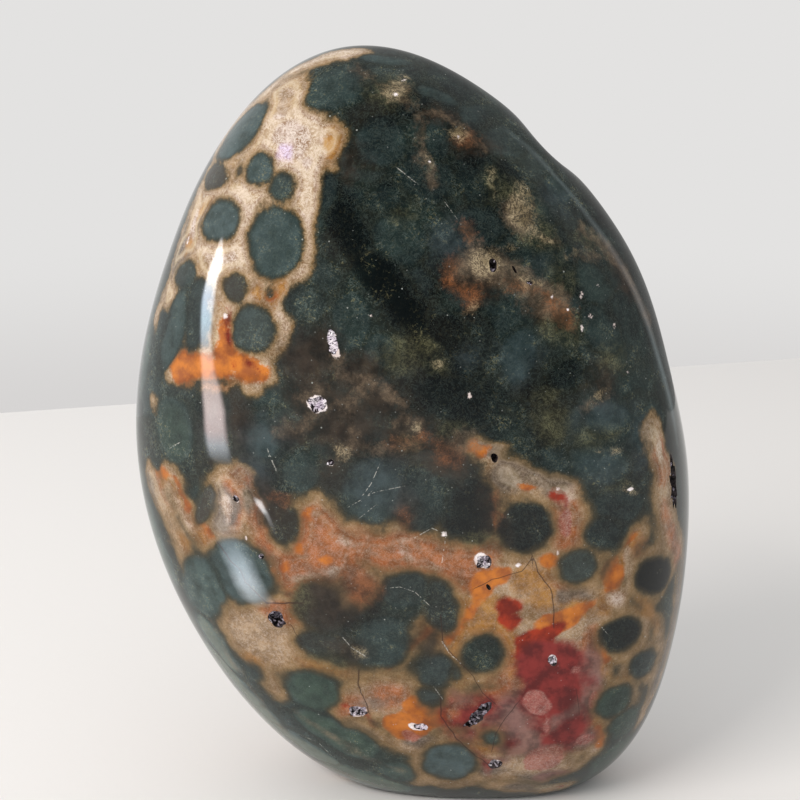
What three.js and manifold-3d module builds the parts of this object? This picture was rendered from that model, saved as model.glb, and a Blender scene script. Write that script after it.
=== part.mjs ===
// Ocean jasper: a polished freeform, one piece of stone that stands on a small flat spot.
//
// Millimetres, +Z up. The origin is the middle of the flat spot. The broad polished face looks
// towards -Y, the belt (the widest line of the stone) lies in the plane Y = 0, and +X is to the
// right of someone who looks at the face. The real stone is about 89 wide, 49 thick, 120 tall.

import * as THREE from 'three';
import { mergeVertices } from 'three/addons/utils/BufferGeometryUtils.js';
import Module from 'manifold-3d';

// ---- Driving dimensions -------------------------------------------------------------------

// Middle of the broad face, in the plane of the belt.
const MIDDLE = { x: -9.5, z: 57.0 };

// Radii of the belt about that middle, one for every 20 degrees from +X towards +Z. They are
// the handles of a closed cubic B-spline, so the outline passes close to them, not through.
const BELT_RADII = [
  43.0, 41.6, 45.4, 49.7, 57.2, 67.0, 57.9, 49.2, 45.8,
  44.5, 44.7, 46.8, 52.1, 59.2, 61.3, 66.8, 53.8, 46.3,
];

// How far the stone stands out from the plane of the belt.
const FRONT_DEPTH = 24.0;
const BACK_DEPTH = 25.0;

// Fullness of the dome: 2 is an ellipse, more is a flatter face with a tighter shoulder.
const FULLNESS_RIGHT = 3.6;
const FULLNESS_LEFT = 2.3;
const FULLNESS_BACK = 2.6;

// Half the height over which the wall eases into the flat spot.
const EASE = 0.8;

// Shallow places left by the polishing wheel: centre, radius and depth, a negative depth being
// a swell. Each is pushed towards the stone's core.
const HOLLOWS = [
  { name: 'notch of the right shoulder', at: [12.5, 0, 107], radius: 7, depth: 1.6 },
  { name: 'flat of the back, left', at: [-26, 24, 44], radius: 34, depth: 1.6 },
  { name: 'flat of the back, high', at: [2, 23, 88], radius: 26, depth: 1.2 },
  { name: 'swell of the back, right', at: [16, 22, 52], radius: 24, depth: -1.0 },
  { name: 'dip of the face, low', at: [-16, -23, 34], radius: 26, depth: 0.5 },
  { name: 'swell of the face, high', at: [-12, -23, 92], radius: 30, depth: -0.6 },
];

// Druse pits. `from` is the side that they are seen from, `at` is x and z there, or y and z for
// the right side. Width, height and depth are full sizes, `turn` is degrees anticlockwise.
const PITS = [
  { from: 'front', at: [-21.7, 78.8], size: [1.5, 4.2, 1.6], turn: 12 },
  { from: 'front', at: [-24.0, 69.9], size: [2.9, 2.4, 1.8], turn: -20 },
  { from: 'front', at: [-30.7, 35.4], size: [3.2, 3.0, 2.2], turn: 0 },
  { from: 'front', at: [-18.5, 19.8], size: [3.4, 2.2, 1.8], turn: 15 },
  { from: 'front', at: [0.3, 46.0], size: [2.2, 2.2, 1.6], turn: 0 },
  { from: 'front', at: [1.3, 89.7], size: [1.3, 2.3, 1.6], turn: 0 },
  { from: 'front', at: [0.0, 19.6], size: [2.0, 6.4, 2.0], turn: -37 },
  { from: 'front', at: [3.0, 9.9], size: [2.2, 2.2, 1.6], turn: 20 },
  { from: 'front', at: [11.2, 29.5], size: [1.3, 2.0, 1.4], turn: 20 },
  { from: 'front', at: [-8.7, 17.4], size: [2.4, 1.3, 1.2], turn: -15 },
  { from: 'right', at: [-13.6, 54.7], size: [2.2, 8.6, 2.6], turn: 3 },
  { from: 'back', at: [-30.0, 71.0], size: [4.6, 2.6, 2.4], turn: 30 },
  { from: 'back', at: [-12.0, 30.0], size: [2.4, 5.6, 2.2], turn: 18 },
  { from: 'back', at: [10.0, 84.0], size: [3.2, 2.2, 2.0], turn: -25 },
  { from: 'back', at: [14.0, 40.0], size: [1.8, 1.8, 1.5], turn: 0 },
  { from: 'left', at: [4.0, 60.0], size: [2.4, 3.6, 2.0], turn: 10 },
];

// Squares along each side of the six patches that the surface is laid out on.
const PATCH_SQUARES = 22;

// ---- The polished surface -----------------------------------------------------------------

// Value at an angle of the closed cubic B-spline through evenly spaced handles.
function closedSpline(handles, angle) {
  const count = handles.length;
  const place = (((angle / (2 * Math.PI)) % 1) + 1) % 1 * count;
  const first = Math.floor(place);
  const t = place - first;
  const weights = [
    (1 - t) ** 3 / 6,
    (3 * t ** 3 - 6 * t ** 2 + 4) / 6,
    (-3 * t ** 3 + 3 * t ** 2 + 3 * t + 1) / 6,
    t ** 3 / 6,
  ];
  return weights.reduce((sum, weight, k) => sum + weight * handles[(first + k + count - 1) % count], 0);
}

const MEAN_RADIUS = BELT_RADII.reduce((sum, radius) => sum + radius, 0) / BELT_RADII.length;
const CORE = new THREE.Vector3(MIDDLE.x, 0, MIDDLE.z);

// Point of the stone's surface that a direction from its core reaches.
function surfacePoint(direction) {
  const angle = Math.atan2(direction.z, direction.x);
  const reach = Math.min(Math.hypot(direction.x, direction.z), 1);
  const blend = reach * reach * (3 - 2 * reach);
  const radius = MEAN_RADIUS + (closedSpline(BELT_RADII, angle) - MEAN_RADIUS) * blend;
  const toRight = (1 + Math.cos(angle)) / 2;
  const isFront = direction.y < 0;
  const fullness = isFront ? FULLNESS_LEFT + (FULLNESS_RIGHT - FULLNESS_LEFT) * toRight : FULLNESS_BACK;
  const dome = Math.sqrt(Math.max(1 - reach ** fullness, 0));
  const point = new THREE.Vector3(
    MIDDLE.x + radius * direction.x,
    (isFront ? -FRONT_DEPTH : BACK_DEPTH) * dome,
    MIDDLE.z + radius * direction.z,
  );
  const shifted = point.clone();
  for (const { at, radius: size, depth } of HOLLOWS) {
    const centre = new THREE.Vector3(...at);
    const fall = Math.exp(-2 * (point.distanceTo(centre) / size) ** 2);
    shifted.addScaledVector(CORE.clone().sub(centre).normalize(), depth * fall);
  }
  shifted.z = easedHeight(shifted.z);
  return shifted;
}

// Height with everything under the table level drawn up to it, over a short round.
function easedHeight(z) {
  if (z >= EASE) return z;
  if (z <= -EASE) return 0;
  return (z + EASE) ** 2 / (4 * EASE);
}

// The closed surface: six square patches of a cube pushed out onto a sphere of directions,
// then onto the stone. The patches' lines are evenly spaced in angle.
function stoneGeometry() {
  const positions = [];
  const indices = [];
  const row = PATCH_SQUARES + 1;
  const patches = [
    (u, v) => [u, -1, v],
    (u, v) => [-u, 1, v],
    (u, v) => [1, u, v],
    (u, v) => [-1, -u, v],
    (u, v) => [u, v, 1],
    (u, v) => [u, -v, -1],
  ];
  patches.forEach((toCube, patch) => {
    for (let i = 0; i <= PATCH_SQUARES; i++) {
      for (let j = 0; j <= PATCH_SQUARES; j++) {
        const u = Math.tan((i / PATCH_SQUARES - 0.5) * Math.PI / 2);
        const v = Math.tan((j / PATCH_SQUARES - 0.5) * Math.PI / 2);
        const direction = new THREE.Vector3(...toCube(u, v)).normalize();
        positions.push(...surfacePoint(direction).toArray());
      }
    }
    for (let i = 0; i < PATCH_SQUARES; i++) {
      for (let j = 0; j < PATCH_SQUARES; j++) {
        const a = patch * row * row + i * row + j;
        const b = a + row;
        indices.push(a, b, b + 1, a, b + 1, a + 1);
      }
    }
  });
  const geometry = new THREE.BufferGeometry();
  geometry.setAttribute('position', new THREE.Float32BufferAttribute(positions, 3));
  geometry.setIndex(indices);
  return mergeVertices(geometry, 1e-4);
}

// ---- The pits -----------------------------------------------------------------------------

// Ways of looking at each side: where a line of sight starts, its direction and the width axis.
const SIDES = {
  front: { start: (a, z) => [a, -200, z], look: [0, 1, 0] },
  back: { start: (a, z) => [a, 200, z], look: [0, -1, 0] },
  right: { start: (a, z) => [200, a, z], look: [-1, 0, 0] },
  left: { start: (a, z) => [-200, a, z], look: [1, 0, 0] },
};

// A small faceted lump, standing square to the surface where the pit is cut.
function pitGeometry(stone, { from, at, size, turn }) {
  const side = SIDES[from];
  const look = new THREE.Vector3(...side.look);
  const ray = new THREE.Raycaster(new THREE.Vector3(...side.start(...at)), look);
  const hit = ray.intersectObject(new THREE.Mesh(stone))[0];
  const out = hit.face.normal.clone();
  const up = new THREE.Vector3(0, 0, 1);
  const across = up.clone().cross(out).normalize();
  up.copy(out).cross(across);
  const frame = new THREE.Matrix4().makeBasis(across, up, out);
  const lump = new THREE.IcosahedronGeometry(0.5, 1);
  lump.scale(size[0] * 1.05, size[1] * 1.05, size[2] * 2);
  lump.rotateZ(THREE.MathUtils.degToRad(turn));
  lump.applyMatrix4(frame);
  lump.translate(hit.point.x, hit.point.y, hit.point.z);
  lump.deleteAttribute('normal');
  lump.deleteAttribute('uv');
  return mergeVertices(lump, 1e-4);
}

// ---- Booleans -----------------------------------------------------------------------------

const manifold = await Module();
manifold.setup();

function toSolid(geometry) {
  const mesh = new manifold.Mesh({
    numProp: 3,
    vertProperties: new Float32Array(geometry.attributes.position.array),
    triVerts: new Uint32Array(geometry.index.array),
  });
  return new manifold.Manifold(mesh);
}

function toGeometry(solid) {
  const mesh = solid.getMesh();
  const geometry = new THREE.BufferGeometry();
  geometry.setAttribute('position', new THREE.BufferAttribute(mesh.vertProperties, 3));
  geometry.setIndex(new THREE.BufferAttribute(mesh.triVerts, 1));
  geometry.computeVertexNormals();
  return geometry;
}

// ---- The stone ----------------------------------------------------------------------------

function makeStone() {
  const polished = stoneGeometry();
  polished.computeBoundingSphere();
  let solid = toSolid(polished);
  for (const pit of PITS) {
    solid = solid.subtract(toSolid(pitGeometry(polished, pit)));
  }
  const polish = new THREE.MeshStandardMaterial({ color: '#57524a', roughness: 0.12, metalness: 0 });
  const stone = new THREE.Mesh(toGeometry(solid), polish);
  stone.name = 'jasper_stone';
  return stone;
}

const oceanJasper = new THREE.Group();
oceanJasper.add(makeStone());

export default oceanJasper;
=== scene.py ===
"""Ocean jasper: a polished freeform of orbicular jasper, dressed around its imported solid.

Shapes are worked out in millimetres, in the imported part's own frame: +Z up, the broad polished face
towards -Y, the origin in the middle of the flat spot. They become metres when a mesh is made.

The stone's pattern is solid: every orb, patch and vein is a body in space that the polished surface
cuts through, so it looks right from any side. numpy works out how far each vertex lies from each
kind of mark, the mesh carries those distances, and the material turns them into edges and colours.
"""

import logging
from collections.abc import Callable
from dataclasses import dataclass
from enum import Enum, IntEnum
from functools import partial
from typing import Any

import bpy
import numpy as np
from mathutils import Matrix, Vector
from mathutils.bvhtree import BVHTree


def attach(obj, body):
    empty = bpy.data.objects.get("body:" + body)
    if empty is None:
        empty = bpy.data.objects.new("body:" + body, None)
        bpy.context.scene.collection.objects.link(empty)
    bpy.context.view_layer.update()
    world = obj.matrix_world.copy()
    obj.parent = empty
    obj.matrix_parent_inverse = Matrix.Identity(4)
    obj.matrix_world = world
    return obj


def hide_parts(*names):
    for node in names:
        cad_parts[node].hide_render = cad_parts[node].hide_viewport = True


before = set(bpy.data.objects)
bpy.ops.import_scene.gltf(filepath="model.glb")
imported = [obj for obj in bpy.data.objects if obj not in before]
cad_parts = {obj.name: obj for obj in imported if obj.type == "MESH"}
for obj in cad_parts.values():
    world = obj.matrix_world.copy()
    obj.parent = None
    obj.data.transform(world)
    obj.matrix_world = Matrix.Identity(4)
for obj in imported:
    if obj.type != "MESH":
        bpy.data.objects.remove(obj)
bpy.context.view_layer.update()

NODE = "jasper_stone"
BODY = "root"
MM = 0.001
# A length that keeps a division from failing.
TINY = 1e-12
# Vertical share of a normal, above which the surface counts as level.
STEEP = 0.95

Array = np.ndarray
Place = tuple[float, float]
Spot = tuple[float, float, float]
NodeMaker = Callable[..., Any]

log = logging.getLogger("ocean_jasper")


# ---- Small tools --------------------------------------------------------------------------------


class Seed(IntEnum):
    """First seed of each family of lattice noise, so that no two of them are the same."""

    RIPPLE = 11
    PIT_WALL = 40
    WARP = 60
    CRUST = 70
    CELL_PLACE = 80
    CELL_LIGHT = 90
    CELL_WARM = 91
    LINE_WARP = 95
    WOBBLE = 120
    PATCH = 200
    PATCH_DETAIL = 230
    PATCH_LIMIT = 260


def linear(hex_colour: str) -> tuple[float, float, float, float]:
    """Linear colour of an sRGB hex value such as "#8a6d4c".

    Args:
        hex_colour: the colour as # and six hexadecimal digits.

    Returns:
        Red, green and blue by the sRGB curve ((c + 0.055) / 1.055) ** 2.4, and 1.
    """
    values = [int(hex_colour[i : i + 2], 16) / 255 for i in (1, 3, 5)]
    curve = [v / 12.92 if v <= 0.04045 else ((v + 0.055) / 1.055) ** 2.4 for v in values]
    return (*curve, 1.0)


def unit(vectors: Array) -> Array:
    """Vectors scaled to length one, along the last axis."""
    return vectors / np.linalg.norm(vectors, axis=-1, keepdims=True)


def smoothstep(t: Array) -> Array:
    """3t^2 - 2t^3: from 0 to 1, level at both ends."""
    return t * t * (3 - 2 * t)


def lattice_noise(points: Array, cell: float, seed: int) -> Array:
    """Smooth random field, from -1 to 1, that changes over about one cell.

    Each corner of a cubic lattice has a random value, a hash of its whole-number place. A point
    takes the mean of its cell's eight corners, weighted by 3t^2 - 2t^3 along each axis.

    Args:
        points: places, in millimetres, one per row.
        cell: side of the lattice's cubes, in millimetres.
        seed: picks one field out of many.

    Returns:
        One value per point.
    """
    place = points / cell
    base = np.floor(place).astype(np.int64)
    t = smoothstep(place - base)
    total = np.zeros(len(points))
    for corner in np.ndindex(2, 2, 2):
        weight = np.prod(np.where(np.array(corner), t, 1 - t), axis=1)
        total += weight * (2 * hashed(base + np.array(corner), seed) - 1)
    return total


def hashed(lattice: Array, seed: int) -> Array:
    """Random value from 0 to 1 for each whole-number place: its three numbers mixed by xor and product."""
    mixed = lattice @ np.array([73856093, 19349663, 83492791]) + int(seed) * 668265263
    mixed = (mixed ^ (mixed >> 13)) * 1274126177
    mixed = mixed ^ (mixed >> 16)
    return (mixed & 0xFFFF) / 0xFFFF


def noise_vector(points: Array, cell: float, seed: int) -> Array:
    """Three lattice_noise fields side by side, one per axis."""
    return np.stack([lattice_noise(points, cell, seed + axis) for axis in range(3)], axis=1)


def grid_faces(index: Array) -> Array:
    """Squares of a grid of vertex numbers, each as its four corners."""
    ring = (index[:-1, :-1], index[1:, :-1], index[1:, 1:], index[:-1, 1:])
    return np.stack(ring, axis=-1).reshape(-1, 4)


def make_object(name: str, vertices: Array, faces: Array, smooth: bool = True) -> bpy.types.Object:
    """Object at the origin whose mesh holds the vertices, given in millimetres.

    Args:
        name: name of the object and its mesh.
        vertices: one place per row, in millimetres.
        faces: vertex numbers, one face per row, anticlockwise from outside.
        smooth: whether the faces are shaded smooth.

    Returns:
        The object, linked to the scene.
    """
    mesh = bpy.data.meshes.new(name)
    mesh.from_pydata((vertices * MM).tolist(), [], faces.tolist())
    mesh.polygons.foreach_set("use_smooth", np.full(len(mesh.polygons), smooth))
    mesh.update()
    made = bpy.data.objects.new(name, mesh)
    bpy.context.scene.collection.objects.link(made)
    return made


def write_attribute(mesh: bpy.types.Mesh, name: str, values: Array) -> None:
    """Writes one number, three of a vector or four of a colour for each vertex."""
    kinds = {1: ("FLOAT", "value"), 3: ("FLOAT_VECTOR", "vector"), 4: ("FLOAT_COLOR", "color")}
    kind, field = kinds[values.size // len(values)]
    data = mesh.attributes.new(name, kind, "POINT").data
    data.foreach_set(field, values.astype(np.float32).ravel())


# The property that holds a node's option, for the kinds that have one.
OPTIONS = {
    "Math": "operation",
    "VectorMath": "operation",
    "Mix": "blend_type",
    "MapRange": "interpolation_type",
    "TexVoronoi": "feature",
}

# Kinds that come up again and again. FADE runs from 0 to 1 while a value runs from low to high.
FADE = "MapRange.SMOOTHSTEP"
BLEND = "Mix.MIX"
TIMES = "Math.MULTIPLY"
TIMES_PLUS = "Math.MULTIPLY_ADD"
MINUS = "Math.SUBTRACT"


def add_node(tree: bpy.types.NodeTree, kind: str, *values: Any, out: int | str = 0, **named: Any) -> Any:
    """Adds a node with its settings, values and links.

    Args:
        tree: the node tree.
        kind: the node's type and, after a dot, its option, such as "Math.MULTIPLY".
        values: what goes into its open inputs, in order: a socket, a hex colour or a plain value.
        out: number or name of the output that is returned.
        named: its own properties in lower case, and inputs by name, capitalised, with _ for a space.

    Returns:
        The output, or None where the node has none.
    """
    name, _, option = kind.partition(".")
    node = tree.nodes.new(f"ShaderNode{name}")
    if name == "Mix":
        node.data_type = "RGBA"
    if option:
        setattr(node, OPTIONS[name], option)
    filled = list(zip([socket for socket in node.inputs if socket.enabled], values))
    for key, value in named.items():
        if key[0].isupper():
            filled.append((node.inputs[key.replace("_", " ")], value))
        else:
            setattr(node, key, value)
    for socket, value in filled:
        if isinstance(value, bpy.types.NodeSocket):
            tree.links.new(value, socket)
        else:
            socket.default_value = linear(value) if isinstance(value, str) else value
    if isinstance(out, str):
        return node.outputs[out]
    open_outputs = [socket for socket in node.outputs if socket.enabled]
    return open_outputs[out] if open_outputs else None


def emptied(owner: bpy.types.Material | bpy.types.World) -> NodeMaker:
    """Gives a material or a world an empty node tree, and returns add_node bound to it."""
    owner.use_nodes = True
    owner.node_tree.nodes.clear()
    return partial(add_node, owner.node_tree)


# ---- The camera ---------------------------------------------------------------------------------


@dataclass(frozen=True)
class CameraPlace:
    """Where the camera stands: millimetres and degrees, with a square frame."""

    spot: Spot = (-12.0, -241.5, 125.0)
    pitch_down: float = 14.0
    lens: float = 70.0
    sensor: float = 36.0
    frame_side: int = 800
    clip: Place = (0.01, 20.0)

    def look(self, at: Place) -> Array:
        """Direction of the line of sight through a place in the frame.

        The direction is ahead + right * (x - 400) / f - up * (y - 400) / f, f being the focal
        length in pixels.
        """
        pitch = np.radians(self.pitch_down)
        ahead = np.array([0.0, np.cos(pitch), -np.sin(pitch)])
        up = np.array([0.0, np.sin(pitch), np.cos(pitch)])
        focal = self.frame_side * self.lens / self.sensor
        half = self.frame_side / 2
        sideways = np.array([(at[0] - half) / focal, 0.0, 0.0])
        return unit(ahead + sideways - up * (at[1] - half) / focal)

    def build(self) -> None:
        """Makes the camera and hands it to the scene."""
        data = bpy.data.cameras.new("camera")
        data.lens = self.lens
        data.sensor_width = self.sensor
        data.clip_start, data.clip_end = self.clip
        camera = bpy.data.objects.new("camera", data)
        camera.location = Vector(self.spot) * MM
        camera.rotation_euler = (np.radians(90 - self.pitch_down), 0, 0)
        bpy.context.scene.collection.objects.link(camera)
        bpy.context.scene.camera = camera
        log.info("camera at %s mm, %.0f degrees down", self.spot, self.pitch_down)


CAMERA = CameraPlace()


# ---- The stone's form ---------------------------------------------------------------------------


@dataclass(frozen=True)
class Hollow:
    """A shallow place of the polish, or a swell where the depth is negative, in millimetres."""

    at: Spot
    radius: float
    depth: float


@dataclass(frozen=True)
class StoneForm:
    """The polished outer surface, in millimetres.

    A direction from the core reaches the belt plane's radius r(angle), times its own sideways
    reach, and stands out from that plane by depth * sqrt(1 - reach ** fullness).
    """

    middle: Place = (-9.5, 57.0)
    belt_radii: tuple[float, ...] = (
        43.0, 41.6, 45.4, 49.7, 57.2, 67.0, 57.9, 49.2, 45.8,
        44.5, 44.7, 46.8, 52.1, 59.2, 61.3, 66.8, 53.8, 46.3,
    )
    front_depth: float = 24.0
    back_depth: float = 25.0
    fullness_right: float = 3.6
    fullness_left: float = 2.3
    fullness_back: float = 2.6
    ease: float = 0.8
    ripple: float = 0.03
    ripple_cell: float = 11.0
    hollows: tuple[Hollow, ...] = (
        Hollow((12.5, 0, 107), 7, 1.6),
        Hollow((-26, 24, 44), 34, 1.6),
        Hollow((2, 23, 88), 26, 1.2),
        Hollow((16, 22, 52), 24, -1.0),
        Hollow((-16, -23, 34), 26, 0.5),
        Hollow((-12, -23, 92), 30, -0.6),
    )

    @property
    def core(self) -> Array:
        """The point in the belt plane that the directions start from."""
        return np.array([self.middle[0], 0.0, self.middle[1]])

    def belt(self, angle: Array) -> Array:
        """Radius of the belt at each angle: a closed cubic B-spline with the handles belt_radii."""
        handles = np.array(self.belt_radii)
        place = (angle / (2 * np.pi)) % 1.0 * len(handles)
        first = np.floor(place).astype(int)
        t = place - first
        weights = (
            (1 - t) ** 3 / 6,
            (3 * t**3 - 6 * t**2 + 4) / 6,
            (-3 * t**3 + 3 * t**2 + 3 * t + 1) / 6,
            t**3 / 6,
        )
        return sum(w * handles[(first + k - 1) % len(handles)] for k, w in enumerate(weights))

    def surface(self, direction: Array) -> Array:
        """Points of the stone that unit directions from its core reach.

        The hollows then push each point towards the core by depth * exp(-2 (distance / radius)^2),
        a faint ripple of the polish moves it by noise, and a parabola eases it into the flat spot.
        """
        dx, dy, dz = direction.T
        angle = np.arctan2(dz, dx)
        reach = np.minimum(np.hypot(dx, dz), 1)
        mean = float(np.mean(self.belt_radii))
        radius = mean + (self.belt(angle) - mean) * smoothstep(reach)
        to_right = (1 + np.cos(angle)) / 2
        front_full = self.fullness_left + (self.fullness_right - self.fullness_left) * to_right
        fullness = np.where(dy < 0, front_full, self.fullness_back)
        depth = np.where(dy < 0, -self.front_depth, self.back_depth)
        dome = np.sqrt(np.clip(1 - reach**fullness, 0, None))
        core = self.core
        points = np.stack([core[0] + radius * dx, depth * dome, core[2] + radius * dz], axis=1)
        shift = np.zeros_like(points)
        for hollow in self.hollows:
            centre = np.array(hollow.at, dtype=float)
            fall = np.exp(-2 * ((points - centre) ** 2).sum(1) / hollow.radius**2)
            shift += np.outer(hollow.depth * fall, unit(core - centre))
        ripple = self.ripple * lattice_noise(points, self.ripple_cell, Seed.RIPPLE) + self.ripple
        points = points + shift - ripple[:, None] * unit(points - core)
        z = points[:, 2]
        eased = (z + self.ease) ** 2 / (4 * self.ease)
        points[:, 2] = np.where(z >= self.ease, z, np.where(z <= -self.ease, 0, eased))
        return points


def ball_directions(squares: int, draw: float = 0.0) -> tuple[Array, Array]:
    """Unit directions over a sphere, laid out as the six grids of a cube, evenly spaced in angle.

    With `draw` above 0 the grids are drawn towards -Y: an angle a from -Y becomes
    a - draw * sin a, so the front gets finer squares and the back coarser ones.

    Args:
        squares: squares along each side of a grid.
        draw: how far the grids are drawn to the front.

    Returns:
        Unit directions, and the squares as rows of four vertex numbers, anticlockwise from outside.
    """
    steps = np.tan(np.linspace(-1, 1, squares + 1) * np.pi / 4)
    a, b = np.meshgrid(steps, steps, indexing="ij")
    one = np.ones_like(a)
    grids = ((a, -one, b), (-a, one, b), (one, a, b), (-one, -a, b), (a, b, one), (a, -b, -one))
    corners = np.concatenate([np.stack([part.ravel() for part in grid], axis=1) for grid in grids])
    square = grid_faces(np.arange(a.size).reshape(a.shape))
    faces = np.concatenate([square + k * a.size for k in range(len(grids))])
    directions = unit(corners)
    angle = np.arccos(np.clip(-directions[:, 1], -1, 1))
    drawn = angle - draw * np.sin(angle)
    aside = directions * (1, 0, 1)
    aside /= np.linalg.norm(aside, axis=1, keepdims=True) + TINY
    directions = aside * np.sin(drawn)[:, None] - np.outer(np.cos(drawn), (0, 1, 0))
    rounded = np.round(directions, 7)
    _, kept, merged = np.unique(rounded, axis=0, return_index=True, return_inverse=True)
    return directions[kept], merged.ravel()[faces]


class Skin:
    """The polished surface as something that lines of sight can meet."""

    # Distances at which a line that misses the stone is tried for where it comes nearest.
    tries: Array = np.arange(100.0, 400.0, 2.0)

    def __init__(self, points: Array, squares: Array) -> None:
        """Keeps a search tree of the squares."""
        self.tree = BVHTree.FromPolygons(points.tolist(), squares.tolist())

    def meet(self, start: Array, look: Array) -> tuple[Array, Array]:
        """Point and outward normal where a line meets the stone, or where it comes nearest to it."""
        point, normal, _, _ = self.tree.ray_cast(Vector(start), Vector(look))
        if point is None:
            near = [self.tree.find_nearest(Vector(spot)) for spot in start + np.outer(self.tries, look)]
            point, normal, _, _ = min(near, key=lambda found: found[3])
        return np.array(point), np.array(normal)

    def seen_at(self, at: Place) -> tuple[Array, Array]:
        """Point and normal that a place in the camera's frame shows."""
        return self.meet(np.array(CAMERA.spot), CAMERA.look(at))

    def nearest(self, spot: Array) -> tuple[Array, Array]:
        """Point and normal of the surface nearest to a spot."""
        point, normal, _, _ = self.tree.find_nearest(Vector(spot))
        return np.array(point), np.array(normal)


def basis_at(normal: Array, tilt: float) -> Array:
    """Rows across, up and out of the surface, turned anticlockwise by a tilt in degrees."""
    is_steep = abs(normal[2]) < STEEP
    across = unit(np.cross((0.0, 0.0, 1.0) if is_steep else (0.0, 1.0, 0.0), normal))
    up = np.cross(normal, across)
    turn = np.radians(tilt)
    return np.stack(
        [across * np.cos(turn) + up * np.sin(turn), up * np.cos(turn) - across * np.sin(turn), normal]
    )


# ---- Druse pits ---------------------------------------------------------------------------------


class Side(Enum):
    """Which side a pit is seen from: a start and a direction, for a place of two numbers."""

    FRONT = ((0, -200), (0, 1))
    BACK = ((0, 200), (0, -1))
    RIGHT = ((200, 0), (-1, 0))
    LEFT = ((-200, 0), (1, 0))

    def sight(self, at: Place) -> tuple[Array, Array]:
        """Start and direction of the level line of sight to a place, in millimetres."""
        (x, y), (look_x, look_y) = self.value
        start = (x, at[0], at[1]) if look_x else (at[0], y, at[1])
        return np.array(start, dtype=float), np.array((look_x, look_y, 0), dtype=float)


@dataclass(frozen=True)
class Pit:
    """A druse pit: side, place on it, full width, height and depth, turn anticlockwise in degrees.

    `points` is how many quartz points line it, `smoke` how dark and short they are, from 0 to 1,
    and `fringe` how far bare white quartz reaches round its mouth.
    """

    side: Side
    at: Place
    size: Spot
    turn: float = 0.0
    points: int = 60
    smoke: float = 0.0
    fringe: float = 0.1

    @property
    def half(self) -> Array:
        """Half the width, half the height and the whole depth."""
        return np.array([self.size[0] / 2, self.size[1] / 2, self.size[2]])


PITS = (
    Pit(Side.FRONT, (-21.7, 78.8), (1.5, 4.2, 1.6), 12, 150, 0.0, -0.1),
    Pit(Side.FRONT, (-24.0, 69.9), (2.9, 2.4, 1.8), -20, 190, 0.0, 0.0),
    Pit(Side.FRONT, (-30.7, 35.4), (3.2, 3.0, 2.2), 0, 120, 0.85, -0.4),
    Pit(Side.FRONT, (-18.5, 19.8), (3.4, 2.2, 1.8), 15, 130, 0.5, -0.15),
    Pit(Side.FRONT, (0.3, 46.0), (2.2, 2.2, 1.6), 0, 80, 0.3, -0.05),
    Pit(Side.FRONT, (1.3, 89.7), (1.3, 2.3, 1.6), 0, 6, 1.0, -0.4),
    Pit(Side.FRONT, (0.0, 19.6), (2.0, 6.4, 2.0), -37, 110, 0.8, -0.4),
    Pit(Side.FRONT, (3.0, 9.9), (2.2, 2.2, 1.6), 20, 60, 0.6, -0.2),
    Pit(Side.FRONT, (11.2, 29.5), (1.3, 2.0, 1.4), 20, 40, 0.1, 0.0),
    Pit(Side.FRONT, (-8.7, 17.4), (2.4, 1.3, 1.2), -15, 200, 0.0, -0.4),
    Pit(Side.RIGHT, (-13.6, 54.7), (2.2, 8.6, 2.6), 3, 150, 0.9, -0.4),
    Pit(Side.BACK, (-30.0, 71.0), (4.6, 2.6, 2.4), 30, 120, 0.1),
    Pit(Side.BACK, (-12.0, 30.0), (2.4, 5.6, 2.2), 18, 110, 0.7, -0.1),
    Pit(Side.BACK, (10.0, 84.0), (3.2, 2.2, 2.0), -25, 90),
    Pit(Side.BACK, (14.0, 40.0), (1.8, 1.8, 1.5), 0, 40, 0.4),
    Pit(Side.LEFT, (4.0, 60.0), (2.4, 3.6, 2.0), 10, 80, 0.2),
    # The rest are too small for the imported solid.
    Pit(Side.FRONT, (-22.1, 61.2), (0.9, 0.9, 0.9), 0, 8, 0.3, 0.0),
    Pit(Side.FRONT, (-36.4, 54.7), (0.9, 1.2, 0.8), 30, 8, 0.5, -0.1),
    Pit(Side.FRONT, (-32.8, 45.9), (0.8, 0.8, 0.7), 0, 6, 0.5, -0.1),
    Pit(Side.FRONT, (1.7, 62.1), (1.0, 1.3, 1.4), 15, 0, 1.0, -0.4),
    Pit(Side.FRONT, (1.2, 41.9), (0.5, 1.0, 0.9), 30, 0, 1.0, -0.4),
    Pit(Side.FRONT, (4.4, 89.2), (0.5, 1.7, 0.9), 28, 0, 1.0, -0.4),
    Pit(Side.FRONT, (6.6, 87.3), (1.2, 0.6, 0.7), -20, 5, 0.6, -0.4),
)


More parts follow.
